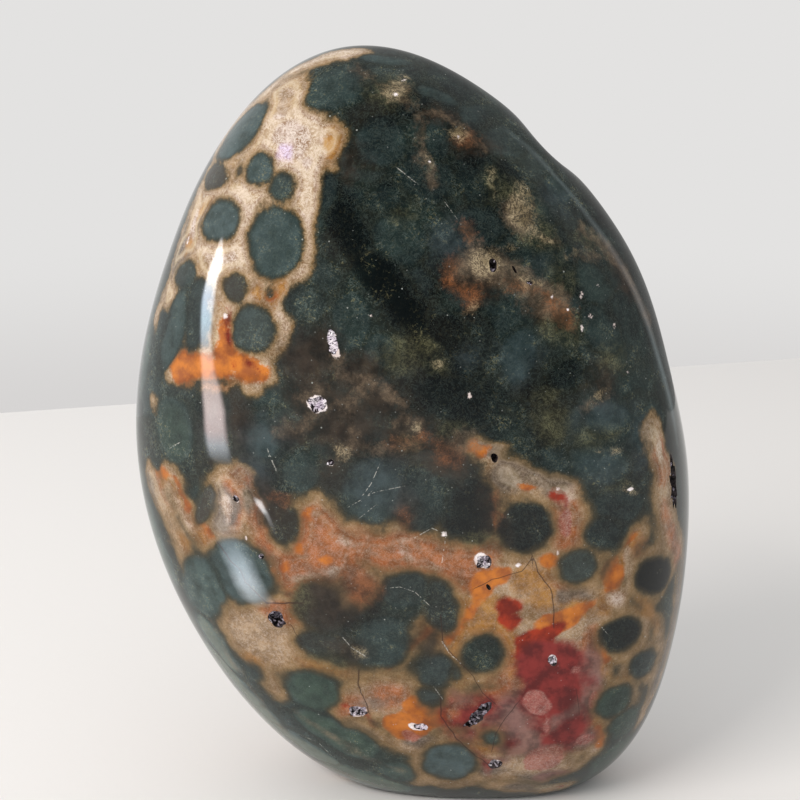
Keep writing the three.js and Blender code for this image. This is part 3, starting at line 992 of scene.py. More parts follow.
def oval_distance(points: Array, parts: OvalParts) -> Array:
    """Signed distance to an ellipsoid, measured along the line to its middle.

    With q the length of the offset after division by the half sizes, it is |offset| (1 - 1/q).

    Args:
        points: places, one per row.
        parts: the middle, a basis with rows across, up and out, and the half sizes.
    """
    middle, basis, half = parts
    nudge = 1e-6
    local = (points - middle) @ basis.T
    far = np.linalg.norm(local, axis=1) + nudge
    scaled = np.linalg.norm(local / half, axis=1) + nudge
    return far * (1 - 1 / scaled)


def segment_distance(points: Array, start: Array, end: Array) -> tuple[Array, Array]:
    """Distance from each point to a straight piece of line, and the offset from its nearest point."""
    along = end - start
    share = np.clip((points - start) @ along / (along @ along), 0, 1)
    offset = points - start - share[:, None] * along
    return np.linalg.norm(offset, axis=1), offset


@dataclass(frozen=True)
class HiddenOrbs:
    """The orbs of the back, the sides and the underside: how many, and the ranges they vary in."""

    count: int = 130
    least_back: float = 0.15
    sizes: Place = (3.0, 9.0)
    warm: Place = (0.0, 0.55)
    light: Place = (0.2, 0.8)
    seed: int = 21


@dataclass(frozen=True)
class FarPatches:
    """Patches where the camera can't see: weights of two noises, how much finer the second is,
    slope of the distance in cells, and the winding line where the patches end.

    That line is where the normal of the ellipsoid with half sizes `round` turns from the camera
    by the share `limit`, moved by up to `wander`.
    """

    weights: Place = (0.8, 0.3)
    finer: float = 2.4
    slope: float = 0.6
    round: Spot = (45.0, 24.0, 60.0)
    limit: float = 0.3
    wander: float = 0.2
    wander_cell: float = 11.0
    steepness: float = 24.0


@dataclass
class Pattern:
    """Where the orbs and bands lie in space, worked out for any points of the stone.

    Distances are in millimetres. `warps` and `wobbles` say how far noises with the given cells
    move the points and the bands' edges.
    """

    skin: Skin
    form: StoneForm
    pits: tuple[Pit, ...]
    hidden: HiddenOrbs = HiddenOrbs()
    patches: FarPatches = FarPatches()
    reach: float = 4.0
    merge: float = 0.3
    warp_cells: tuple[float, ...] = (6.5, 2.6, 1.2)
    warps: tuple[float, ...] = (0.6, 0.4, 0.18)
    line_warp_cell: float = 0.9
    line_warp: float = 0.12
    cell: float = 7.0
    cell_blend: float = 0.5
    # The dark mass against its orbs: how softly it fades, and its share of warmth and lightness.
    mass_fade: float = 0.7
    mass_warm: Place = (-0.25, 0.25)
    mass_light: float = 0.3
    colour_blend: float = 0.6
    colour_reach: Place = (-3.0, 12.0)
    mass_reach: Place = (-8.0, 0.8)
    far: float = 20.0
    wobble_cells: tuple[float, ...] = (3.6, 1.6)
    wobbles: tuple[float, ...] = (0.8, 0.4)
    line_reach: float = 0.9
    line_full: float = 0.4
    line_width: float = 0.1
    bare_fringe: float = -0.3

    def warped(self, points: Array) -> Array:
        """Points moved by smooth noise, so that the marks they are measured to get natural edges."""
        moved = points.copy()
        for number, (cell, by) in enumerate(zip(self.warp_cells, self.warps)):
            moved += by * noise_vector(points, cell, Seed.WARP + 10 * number)
        return moved

    def wobble(self, points: Array, band: Band) -> Array:
        """Smooth noise added to a band's distance, so that veins swell and thin along the way."""
        return sum(
            by * lattice_noise(points, cell, Seed.WOBBLE + 10 * number + band.value)
            for number, (cell, by) in enumerate(zip(self.wobble_cells, self.wobbles))
        )

    def oval(self, mark: Blot) -> OvalParts:
        """Middle, basis and half sizes of a mark that a place in the camera's frame shows."""
        middle, normal = self.skin.seen_at((mark.x, mark.y))
        half = np.array([mark.wide, mark.tall, min(mark.wide, mark.tall)]) / 2
        return middle, basis_at(normal, mark.tilt), half

    def join(self, distances: list[Array]) -> Array:
        """Smooth minimum of distances d, -m log(sum(exp(-d / m))), held to plus or minus reach."""
        total = sum(np.exp(-np.clip(d, -2 * self.reach, self.reach) / self.merge) for d in distances)
        return np.clip(-self.merge * np.log(total), -self.reach, self.reach)

    def mark_distance(self, points: Array, mark: Blot | Vein | OvalParts) -> Array:
        """Signed distance to one mark or ready oval, negative inside."""
        if isinstance(mark, Vein):
            spots = [self.skin.seen_at(at)[0] for at in mark.route]
            pieces = [segment_distance(points, a, b)[0] for a, b in zip(spots, spots[1:])]
            return np.min(pieces, axis=0) - mark.width / 2
        return oval_distance(points, self.oval(mark) if isinstance(mark, Blot) else mark)

    def dark_fields(self, points: Array, matrix: Array) -> tuple[Array, Array]:
        """Distance to the dark spherulites, warmth and lightness of those nearby, and the seams.

        Everything that isn't matrix is dark mass, so the distance joins the orbs' with the
        matrix's turned round, which is scaled down so that the mass fades out more softly than
        the orbs. Warmth and lightness are means weighted by exp(-distance / blend), so they change
        smoothly where two orbs meet; the dark mass takes its own from its cells. A seam runs
        along each orb's border, halfway between two orbs, and between the cells.

        Returns:
            Distance, warmth and lightness side by side, then the distance to the nearest seam.
        """
        border, cell_light, cell_warm = self.cell_fields(points)
        coldest, warmest = self.mass_warm
        weights = np.exp(np.clip(matrix, *self.mass_reach) / self.colour_blend)
        warm = weights * ((warmest - coldest) * cell_warm + coldest)
        light = weights * self.mass_light * cell_light
        distances = [-self.mass_fade * matrix]
        nearest, second = (np.full(len(points), self.far) for _ in range(2))
        orbs = [(self.oval(orb), orb.warm, orb.light) for orb in ORBS] + self.orbs_out_of_sight()
        for parts, orb_warm, orb_light in orbs:
            distance = oval_distance(points, parts)
            distances.append(distance)
            second = np.where(distance < nearest, nearest, np.minimum(second, distance))
            nearest = np.minimum(nearest, distance)
            weight = np.exp(-np.clip(distance, *self.colour_reach) / self.colour_blend)
            warm += weight * orb_warm
            light += weight * orb_light
            weights = weights + weight
        inside = np.minimum(-nearest, (second - nearest) / 2)
        seam = np.where(nearest < 0, inside, np.minimum(nearest, border))
        return np.stack([self.join(distances), warm / weights, light / weights], axis=1), seam

    def orbs_out_of_sight(self) -> list[tuple[OvalParts, float, float]]:
        """Orbs of the back, the sides and the underside, placed by a seeded random draw."""
        rng = np.random.default_rng(self.hidden.seed)
        directions = unit(rng.normal(0, 1, (self.hidden.count * 4, 3)))
        directions = directions[directions[:, 1] > self.hidden.least_back][: self.hidden.count]
        orbs = []
        for spot in self.form.surface(directions):
            middle, normal = self.skin.nearest(spot)
            wide, tall = rng.uniform(*self.hidden.sizes, 2)
            half = np.array([wide, tall, min(wide, tall)]) / 2
            parts = (middle, basis_at(normal, rng.uniform(0, 180)), half)
            orbs.append((parts, rng.uniform(*self.hidden.warm), rng.uniform(*self.hidden.light)))
        return orbs

    def far_side(self, points: Array, band: Band) -> Array:
        """Signed distance to a band's patches where the camera can't see, from smooth noise.

        With n a sum of two noises and c the band's cell, it is slope * c * (least - n), and it
        grows quickly, from a winding line on, where the stone turns to the camera.
        """
        cell, least = BAND_FINISHES[band].far
        far = self.patches
        coarse = lattice_noise(points, cell, Seed.PATCH + band.value)
        fine = lattice_noise(points, cell / far.finer, Seed.PATCH_DETAIL + band.value)
        noise = far.weights[0] * coarse + far.weights[1] * fine
        out = unit((points - self.form.core) / np.square(far.round))
        turned = (out * unit(points - np.array(CAMERA.spot))).sum(1)
        wander = far.wander * lattice_noise(points, far.wander_cell, Seed.PATCH_LIMIT)
        guard = np.clip(far.limit + wander - turned, 0, 1)
        return far.slope * cell * (least - noise) + far.steepness * guard

    def cell_fields(self, points: Array) -> tuple[Array, Array, Array]:
        """Cells of the dark mass: distance from the border between two, lightness and warmth.

        Each cube of a lattice holds one seed at a random place in it. The border's distance is
        half the difference between the distances to the nearest and second nearest seeds.
        Lightness and warmth are means over the seeds, weighted by exp(-distance / blend).
        """
        base = np.floor(points / self.cell).astype(np.int64)
        nearest = np.full(len(points), np.inf)
        second = nearest.copy()
        light, warm, weights = (np.zeros(len(points)) for _ in range(3))
        for shift in np.ndindex(3, 3, 3):
            lattice = base + np.array(shift) - 1
            jitter = np.stack([hashed(lattice, Seed.CELL_PLACE + axis) for axis in range(3)], axis=1)
            distance = np.linalg.norm((lattice + jitter) * self.cell - points, axis=1)
            second = np.where(distance < nearest, nearest, np.minimum(second, distance))
            nearest = np.minimum(nearest, distance)
            weight = np.exp(-distance / self.cell_blend)
            light += weight * hashed(lattice, Seed.CELL_LIGHT)
            warm += weight * hashed(lattice, Seed.CELL_WARM)
            weights += weight
        return (second - nearest) / 2, light / weights, warm / weights

    def line_fields(self, points: Array, lines: tuple[Vein, ...]) -> Array:
        """Signed distance across the nearest line, how near it is from 1 to 0, and its width."""
        nearest = np.full(len(points), np.inf)
        signed, width = np.full(len(points), self.line_reach), np.full(len(points), self.line_width)
        for line in lines:
            spots = [self.skin.seen_at(at) for at in line.route]
            for (start, normal), (end, _) in zip(spots, spots[1:]):
                distance, offset = segment_distance(points, start, end)
                side = unit(np.cross(normal, end - start))
                closer = distance < nearest
                signed = np.where(closer, offset @ side, signed)
                width = np.where(closer, line.width, width)
                nearest = np.where(closer, distance, nearest)
        full = self.line_reach * self.line_full
        near = 1 - smoothstep(np.clip((nearest - full) / (self.line_reach - full), 0, 1))
        return np.stack([signed, near, width], axis=1)

    def pit_rim(self, pit: Pit) -> OvalParts:
        """The quartz around a pit: its own oval, a little wider."""
        middle, normal = self.skin.meet(*pit.side.sight(pit.at))
        return middle, basis_at(normal, pit.turn), pit.half + (pit.fringe, pit.fringe, 0)

    def band_distance(self, band: Band, points: Array, moved: Array, still: Array) -> Array:
        """Signed distance to a band, with its far side or, for bare quartz, the pits' rims.

        Args:
            band: the band.
            points: places, one per row.
            moved: the same, moved by the noises of natural edges.
            still: the same, moved by the finest noise alone.
        """
        marks: list[Blot | Vein | OvalParts] = [*MARKS[band]]
        if band is Band.WHITE:
            marks += [self.pit_rim(pit) for pit in self.pits if pit.fringe > self.bare_fringe]
            return self.join([self.mark_distance(still, mark) for mark in marks])
        distance = self.join([self.mark_distance(moved, mark) for mark in marks])
        if BAND_FINISHES[band].far:
            distance = np.minimum(distance, self.far_side(moved, band))
        return np.clip(distance + self.wobble(points, band), -self.reach, self.reach)

    def fields(self, points: Array) -> dict[str, Array]:
        """Everything the material reads, as named sets of three values per point."""
        moved = self.warped(points)
        still = points + self.line_warp * noise_vector(points, self.line_warp_cell, Seed.LINE_WARP)
        bands = [self.band_distance(band, points, moved, still) for band in Band]
        dark, seam = self.dark_fields(moved, bands[Band.GROUND.value])
        bands.append(seam)
        named = {f"bands_{k}": np.stack(bands[3 * k : 3 * k + 3], axis=1) for k in range(SETS)}
        named["dark"] = dark
        named["cracks"] = self.line_fields(still, CRACKS)
        named["scratches"] = self.line_fields(points, SCRATCHES)
        return named


# ---- Finishes -----------------------------------------------------------------------------------


@dataclass(frozen=True)
class BandFinish:
    """How one kind of mark looks: two colours and its edge, in millimetres.

    ragged is how far noise moves the edge, soft is half the width over which it blends, broken is
    how much of it is left out between its threads, strength is how much it hides what is under it,
    and lacy is how strongly pale and deep fibres run through it. far is the size of its patches on
    the side that the camera can't see, and the noise value above which they lie.
    """

    pale: str
    deep: str
    ragged: float = 0.5
    soft: float = 0.25
    broken: float = 0.0
    strength: float = 1.0
    lacy: float = 0.0
    far: Place | None = None


BAND_FINISHES: dict[Band, BandFinish] = {
    Band.GROUND: BandFinish("#a68c6e", "#7c6449", lacy=0.6, far=(22, -0.05)),
    Band.SALMON: BandFinish("#a05f35", "#74492b", 1.2, 1.2, lacy=0.38, far=(13, 0.15)),
    Band.GREY: BandFinish("#74665a", "#54483d", 1.2, 1.1, lacy=0.3, far=(14, 0.3)),
    Band.GOLD: BandFinish("#a37538", "#765229", 1.2, 1.1, lacy=0.28, far=(14, 0.25)),
    Band.CREAM: BandFinish("#bfaea5", "#8a6f5a", 1.3, 0.7, lacy=1.3, far=(16, 0)),
    Band.ORANGE: BandFinish("#c0732c", "#93532a", 0.9, 0.4, far=(9, 0.4)),
    Band.RED: BandFinish("#9a3015", "#681b0c", 0.9, 0.5, far=(8, 0.5)),
    Band.MAUVE: BandFinish("#85605a", "#5a413e", 1.2, 1.3, 0.0, 0.9, far=(13, 0.4)),
    Band.CRIMSON: BandFinish("#802a27", "#551818", 1.2, 1.1, far=(9, 0.55)),
    Band.PINK: BandFinish("#a5635a", "#7f4640", 0.6, 0.3, 0.0, 0.8, 0.5),
    Band.UMBER: BandFinish("#3a2f26", "#1e1813", 2.4, 2.4, 0.0, 0.75, far=(12, 0.4)),
    Band.OLIVE: BandFinish("#6c6a4c", "#3a3925", 1.8, 1.4, 0.75, 0.5, far=(9, 0.45)),
    Band.RUST: BandFinish("#8a5430", "#4c3323", 1.8, 1.2, 0.65, 0.75, far=(7, 0.5)),
    # Bluish haze: partly painted reflection haze.
    Band.HAZE: BandFinish("#46535a", "#2c383e", 2.4, 2.0, 0.0, 0.3, far=(12, 0.35)),
    Band.CLAY: BandFinish("#7d6c59", "#524538", 1.8, 1.1, 0.45, 0.7, far=(9, 0.5)),
    Band.CHALK: BandFinish("#b3a486", "#776a50", 1.6, 0.9, 0.88, 0.8),
    Band.WHITE: BandFinish("#f4eff2", "#c9b9b6", 0.5, 0.12, lacy=1.0),
}

# Each noise's size in millimetres, detail, roughness and distortion.
NOISES: dict[str, tuple[float, float, float, float]] = {
    "cloud": (9.0, 3.0, 0.5, 0.3),
    "mottle": (2.6, 5.0, 0.6, 0.1),
    "edge": (1.1, 4.0, 0.62, 0.3),
    "fine": (0.38, 2.0, 0.6, 0.6),
    "needle": (0.9, 4.0, 0.7, 1.0),
}


@dataclass(frozen=True)
class Layer:
    """One step of a spherulite's edge: where it begins and is full, in mm, its look and strength."""

    outer: float
    inner: float
    colour: str
    strength: float
    blend: str = "MIX"


@dataclass(frozen=True)
class JasperFinish:
    """Polished ocean jasper, a chalcedony ground on wheels and buffed.

    The buffed silica gives the eye a wet, glassy gloss over a pattern that lies at the surface:
    dark spherulites with olive rims in a matrix of cream, tan, orange and red. Fields of two
    numbers are the values between which a share runs from 0 to 1, unless they say otherwise.
    """

    name: str = "polished_ocean_jasper"
    index: float = 1.54
    level: float = 0.27
    # Roughness where the mottling is 0 and where it is 1.
    gloss: Place = (0.03, 0.09)
    core_dark: str = "#090e0f"
    core_green: str = "#1e2b28"
    core_pale: str = "#4a5b5e"
    core_moss: str = "#41554a"
    core_warm: str = "#392f26"
    # Grey veil, partly painted sheen of the lower left limb.
    core_veil_and_sheen: str = "#767b6c"
    wisp: str = "#66736d"
    seam: str = "#2f3026"
    dust: str = "#8b8560"
    collar: str = "#cbb68e"
    lace: str = "#d7ccc2"
    crack: str = "#2e1c18"
    scratch: str = "#c9c9c2"
    fleck: str = "#a9aeaa"
    # The stain multiplies the matrix around the spherulites, and the halo and the rim cover it.
    layers: tuple[Layer, ...] = (
        Layer(2.4, 0.3, "#d0c1a2", 0.9, "MULTIPLY"),
        Layer(1.2, 0.0, "#6a5a3e", 0.5),
        Layer(0.5, -0.4, "#35301f", 0.9),
        Layer(0.2, -1.0, "core", 1.0),
    )
    # Heights between which the edges turn from soft, below, to crisp and fibrous, above.
    crisp: Place = (42.0, 72.0)
    # How far the edge and fine noises move an edge: at the soft end, and what crispness adds.
    edge_move: float = 1.1
    fine_move: float = 0.25
    crisp_move: float = 0.8
    # Half widths of the winding lines, as distances from a noise's middle.
    lace_line: float = 0.05
    deep_lace_line: float = 0.04
    thread_line: float = 0.055
    wisp_line: float = 0.035
    line_core: float = 0.2
    sugar: Place = (0.54, 0.7)
    deep_sugar: Place = (0.46, 0.3)
    thread_sugar: Place = (0.56, 0.68)
    patch_cloud: Place = (0.46, 0.58)
    patch_mottle: Place = (0.46, 0.6)
    body: Place = (0.35, 0.65)
    # Strengths of the fibres and grains in a tone, and what is left of the lace in the soft part.
    deep_lace_share: float = 0.5
    deep_sugar_share: float = 0.6
    sugar_share: float = 0.35
    lace_share: float = 0.65
    soft_lace: float = 0.5
    # The pale collar: its distance from the spherulites in mm, its profile and its strength.
    collar_at: float = 1.4
    collar_edge: Place = (0.7, 0.1)
    collar_share: float = 0.35
    # The contour bands: turns per mm, drift with the mottling, profile, strength and reach.
    ring_turns: float = 7.0
    ring_drift: float = 9.0
    ring_edge: Place = (-0.2, 1.0)
    ring_share: Place = (0.07, 0.12)
    ring_reach: Place = (3.0, 0.6)
    # The cores: what moves their lightness, and where each colour comes in.
    core_mottle: float = 0.5
    core_lightness: Place = (-0.15, 0.55)
    core_inside: Place = (0.1, 1.0)
    core_mossy: Place = (0.0, -0.5)
    core_patchy: Place = (0.15, 0.75)
    core_veiled_sheen: Place = (1.0, 2.0)
    core_warmth: float = 0.8
    seam_ragged: float = 0.9
    seam_edge: Place = (0.55, -0.4)
    seam_share: float = 0.35
    wisp_share: Place = (0.16, 0.32)
    wisp_light: Place = (-0.2, 0.15)
    dust_share: Place = (0.08, 0.9)
    dust_most: float = 0.4
    # The spherulites' edge: raggedness, wide waves, and how soft it gets in the soft part.
    orb_ragged: float = 0.5
    orb_waves: float = 0.8
    orb_retreat: float = 0.35
    orb_sharp: Place = (0.9, 0.8)
    # The lines: share of their width, share of it that is full, and how they are broken.
    line_half: float = 0.7
    line_full: float = 0.3
    crack_share: float = 0.75
    scratch_gaps: Place = (0.42, 0.58)
    scratch_share: float = 0.55
    # Spacing of the flecks in millimetres, their widest radius in spacings, and their strength.
    fleck_layers: tuple[Spot, ...] = ((1.3, 0.1, 0.6), (0.55, 0.2, 0.3))
    fleck_rarity: float = 0.84

    def build(self) -> bpy.types.Material:
        """Makes the material, which reads the stone's own attributes and its object coordinates."""
        material = bpy.data.materials.new(self.name)
        node = emptied(material)
        place = node("VectorMath.SCALE", node("TexCoord", out="Object"), 1 / MM)
        parts = self.read_fields(node) | self.grains(node, place)
        colour = self.tone(node, Band.GROUND, parts)
        for band in TONES:
            colour = self.lay_band(node, colour, band, parts)
            if band is Band.CREAM:
                colour = self.rings(node, colour, parts)
        colour = self.dark_mass(node, colour, parts)
        for band in (*DUST_AND_SHEEN, Band.WHITE):
            colour = self.lay_band(node, colour, band, parts)
        colour = self.lines(node, colour, parts)
        colour = self.flecks(node, colour, place)
        rough = node("MapRange", parts["mottle"], 0.0, 1.0, *self.gloss)
        shader = node(
            "BsdfPrincipled", Base_Color=colour, Roughness=rough, IOR=self.index,
            Specular_IOR_Level=self.level,
        )
        node("OutputMaterial", Surface=shader)
        return material

    @staticmethod
    def read_fields(node: NodeMaker) -> dict[str, Any]:
        """Outputs X, Y and Z of each attribute, by the attribute's name."""
        names = (*(f"bands_{k}" for k in range(SETS)), "dark", "cracks", "scratches")
        vectors = {name: node("Attribute", attribute_name=name, out="Vector") for name in names}
        return {name: node("SeparateXYZ", vector).node.outputs for name, vector in vectors.items()}

    def grains(self, node: NodeMaker, place: Any) -> dict[str, Any]:
        """The noises that all parts of the pattern share, and what is made of them."""
        made = {
            name: node("TexNoise", place, 1 / size, detail, rough, Distortion=bend)
            for name, (size, detail, rough, bend) in NOISES.items()
        }
        made["crisp"] = node(FADE, node("SeparateXYZ", place, out=2), *self.crisp)
        for name, least in (("edge", self.edge_move), ("fine", self.fine_move)):
            by = node(TIMES_PLUS, made["crisp"], self.crisp_move, least)
            made[f"{name}_by"] = node(TIMES, node(MINUS, made[name], 0.5), by)
        made["lace"] = self.line_noise(node, made["needle"], self.lace_line)
        made["deep_lace"] = self.line_noise(node, made["edge"], self.deep_lace_line)
        made["sugar"] = node(FADE, made["fine"], *self.sugar)
        made["deep_sugar"] = node(FADE, made["fine"], *self.deep_sugar)
        winding = self.line_noise(node, made["needle"], self.thread_line)
        made["threads"] = node("Math.MAXIMUM", winding, node(FADE, made["fine"], *self.thread_sugar))
        cloudy = node(FADE, made["cloud"], *self.patch_cloud)
        made["patch"] = node(TIMES, cloudy, node(FADE, made["mottle"], *self.patch_mottle))
        return made

    def line_noise(self, node: NodeMaker, noise: Any, width: float) -> Any:
        """Thin winding lines: near 1 where a noise is within `width` of its middle, else 0."""
        away = node("Math.ABSOLUTE", node(MINUS, noise, 0.5))
        return node(FADE, away, width, width * self.line_core)

    @staticmethod
    def ragged(node: NodeMaker, distance: Any, by: float, parts: dict[str, Any]) -> Any:
        """A distance moved by `by` times the edge noise and the fine noise, less in the soft part."""
        return node(TIMES_PLUS, node("Math.ADD", parts["edge_by"], parts["fine_by"]), by, distance)

    def tone(self, node: NodeMaker, band: Band, parts: dict[str, Any]) -> Any:
        """Colour of a band: its two colours in soft clouds, with fine deep and pale fibres."""
        finish = BAND_FINISHES[band]
        body = node(BLEND, node(FADE, parts["mottle"], *self.body), finish.deep, finish.pale)
        for grain, strength, colour in (
            ("deep_lace", self.deep_lace_share, finish.deep),
            ("deep_sugar", self.deep_sugar_share, finish.deep),
            ("sugar", self.sugar_share, self.lace),
        ):
            body = node(BLEND, node(TIMES, parts[grain], strength * finish.lacy), body, colour)
        least = node(TIMES_PLUS, parts["crisp"], 1 - self.soft_lace, self.soft_lace)
        lace = node(TIMES, node(TIMES, parts["lace"], least), self.lace_share * finish.lacy)
        return node(BLEND, lace, body, self.lace)

    def lay_band(self, node: NodeMaker, under: Any, band: Band, parts: dict[str, Any]) -> Any:
        """Lays one kind of mark over what is under it, its edge moved by noise."""
        finish = BAND_FINISHES[band]
        distance = parts[f"bands_{band.value // 3}"][band.value % 3]
        edge = self.ragged(node, distance, finish.ragged, parts)
        mask = node(FADE, edge, finish.soft, -finish.soft)
        if finish.broken:
            mask = node(TIMES, mask, node(TIMES_PLUS, parts["threads"], finish.broken, 1 - finish.broken))
        return node(BLEND, node(TIMES, mask, finish.strength), under, self.tone(node, band, parts))

    def rings(self, node: NodeMaker, under: Any, parts: dict[str, Any]) -> Any:
        """Faint contour bands in the matrix around the dark spherulites, and a pale collar.

        The bands are where sin(turns * d + drift * mottle), d being the distance in mm, is high.
        The collar is where d is near `collar_at`, in the crisp part.
        """
        distance = parts["dark"][0]
        away = node("Math.ABSOLUTE", node(MINUS, distance, self.collar_at))
        share = node(TIMES, node(FADE, away, *self.collar_edge), parts["crisp"])
        under = node(BLEND, node(TIMES, share, self.collar_share), under, self.collar)
        drift = node(TIMES, parts["mottle"], self.ring_drift)
        wave = node("Math.SINE", node(TIMES_PLUS, distance, self.ring_turns, drift))
        least, more = self.ring_share
        most = node(TIMES_PLUS, parts["crisp"], more, least)
        near = node(TIMES, node(FADE, distance, *self.ring_reach), most)
        return node(BLEND, node(TIMES, node(FADE, wave, *self.ring_edge), near), under, self.lace)

    def dark_mass(self, node: NodeMaker, under: Any, parts: dict[str, Any]) -> Any:
        """Lays the dark spherulites over the matrix: stain, halo, rim, then core, by distance."""
        edge = self.ragged(node, parts["dark"][0], self.orb_ragged, parts)
        edge = node(TIMES_PLUS, node(MINUS, parts["mottle"], 0.5), self.orb_waves, edge)
        edge = node(TIMES_PLUS, node(MINUS, 1.0, parts["crisp"]), self.orb_retreat, edge)
        least, more = self.orb_sharp
        edge = node(TIMES, edge, node(TIMES_PLUS, parts["crisp"], more, least))
        core = self.core(node, parts)
        for layer in self.layers:
            share = node(TIMES, node(FADE, edge, layer.outer, layer.inner), layer.strength)
            colour = core if layer.colour == "core" else layer.colour
            under = node(f"Mix.{layer.blend}", share, under, colour)
        return under

    def core(self, node: NodeMaker, parts: dict[str, Any]) -> Any:
        """Colour inside the dark spherulites.

        It runs from near black to green and slate by its lightness, which clouds move, and to
        brown by its warmth, and above a lightness of 1 to a grey veil that is partly painted sheen.
        Fine pale threads and dust lie in patches, olive seams along the borders between the cells.
        """
        _, warm, light = parts["dark"]
        drift = node("Math.ADD", light, node(MINUS, parts["cloud"], 0.5))
        drift = node(TIMES_PLUS, node(MINUS, parts["mottle"], 0.5), self.core_mottle, drift)
        core = node(BLEND, node(FADE, drift, *self.core_lightness), self.core_dark, self.core_green)
        border = parts[f"bands_{SETS - 1}"][2]
        pale = node(BLEND, node(FADE, warm, *self.core_mossy), self.core_pale, self.core_moss)
        share = node(TIMES, light, node(FADE, parts["mottle"], *self.core_patchy))
        core = node(BLEND, node(TIMES, share, node(FADE, border, *self.core_inside)), core, pale)
        # Painted sheen: a lightness above 1 veils the core in pale grey, as on the lower left limb.
        core = node(BLEND, node(FADE, light, *self.core_veiled_sheen), core, self.core_veil_and_sheen)
        core = node(BLEND, node(TIMES, warm, self.core_warmth), core, self.core_warm)
        seam = node(FADE, self.ragged(node, border, self.seam_ragged, parts), *self.seam_edge)
        core = node(BLEND, node(TIMES, seam, self.seam_share), core, self.seam)
        least, more = self.wisp_share
        fibres = self.line_noise(node, parts["needle"], self.wisp_line)
        share = node(TIMES, fibres, node(TIMES_PLUS, parts["patch"], more, least))
        core = node(BLEND, node(TIMES, share, node(FADE, light, *self.wisp_light)), core, self.wisp)
        least, more = self.dust_share
        dusty = node(TIMES, parts["sugar"], node(TIMES_PLUS, parts["patch"], more, least))
        return node(BLEND, node(TIMES, dusty, self.dust_most), core, self.dust)

    def lines(self, node: NodeMaker, under: Any, parts: dict[str, Any]) -> Any:
        """Draws the cracks dark, the scratches white and broken, both thinner towards their ends."""
        broken = node(TIMES, node(FADE, parts["fine"], *self.scratch_gaps), self.scratch_share)
        for name, tint, strength in (
            ("cracks", self.crack, self.crack_share),
            ("scratches", self.scratch, broken),
        ):
            signed, near, width = parts[name]
            half = node(TIMES, near, node(TIMES, width, self.line_half))
            mask = node("MapRange", node("Math.ABSOLUTE", signed), half, node(TIMES, half, self.line_full))
            under = node(BLEND, node(TIMES, node(TIMES, mask, near), strength), under, tint)
        return under

    def flecks(self, node: NodeMaker, under: Any, place: Any) -> Any:
        """Sprinkles pale flecks, larger and fine: the middles of about one cell in six."""
        for spacing, widest, strength in self.fleck_layers:
            cells = node("TexVoronoi.F1", place, 1 / spacing).node.outputs
            chosen = node("SeparateColor", cells["Color"])
            size = node("MapRange", chosen, self.fleck_rarity, 1.0, 0.0, widest)
            mask = node("Math.LESS_THAN", cells["Distance"], size)
            under = node(BLEND, node(TIMES, mask, strength), under, self.fleck)
        return under


@dataclass(frozen=True)
class GrainFinish:
    """Bare mineral of a pit, speckled between two colours by a noise of its grain's size in mm.

    smoke is the colour that the mesh's attribute of that name leads to, where it has one.
    """

    name: str
    deep: str
    pale: str
    grain: float
    spread: Place
    rough: float
    index: float = 1.54
    clear: float = 0.0
    smoke: str = ""

    def build(self) -> bpy.types.Material:
        """Makes the material."""
        material = bpy.data.materials.new(self.name)
        node = emptied(material)
        grain = node("TexNoise", node("TexCoord", out="Object"), 1 / (self.grain * MM), 2.0)
        tint = node(BLEND, node(FADE, grain, *self.spread), self.deep, self.pale)
        if self.smoke:
            tint = node(BLEND, node("Attribute", attribute_name="smoke", out="Fac"), tint, self.smoke)
        shader = node(
            "BsdfPrincipled", Base_Color=tint, Roughness=self.rough, IOR=self.index,
            Transmission_Weight=self.clear,
        )
        node("OutputMaterial", Surface=shader)
        return material


# Quartz grown as small clear points: a sugary sparkle, white to violet, smoky in some pits.
QUARTZ = GrainFinish(
    "drusy_quartz", "#d9cede", "#faf5fa", grain=1.25, spread=(0.35, 0.65), rough=0.08,
    index=1.544, clear=0.15, smoke="#857d8a",
)
# Unpolished, broken chalcedony: matt, its near-black colour being painted shade between the quartz points.
PIT_WALL = GrainFinish("rough_pit_wall_painted_shade", "#0f0c0d", "#463c3d", grain=0.4, spread=(0.4, 0.6), rough=0.6)


# ---- The stone and its crust --------------------------------------------------------------------


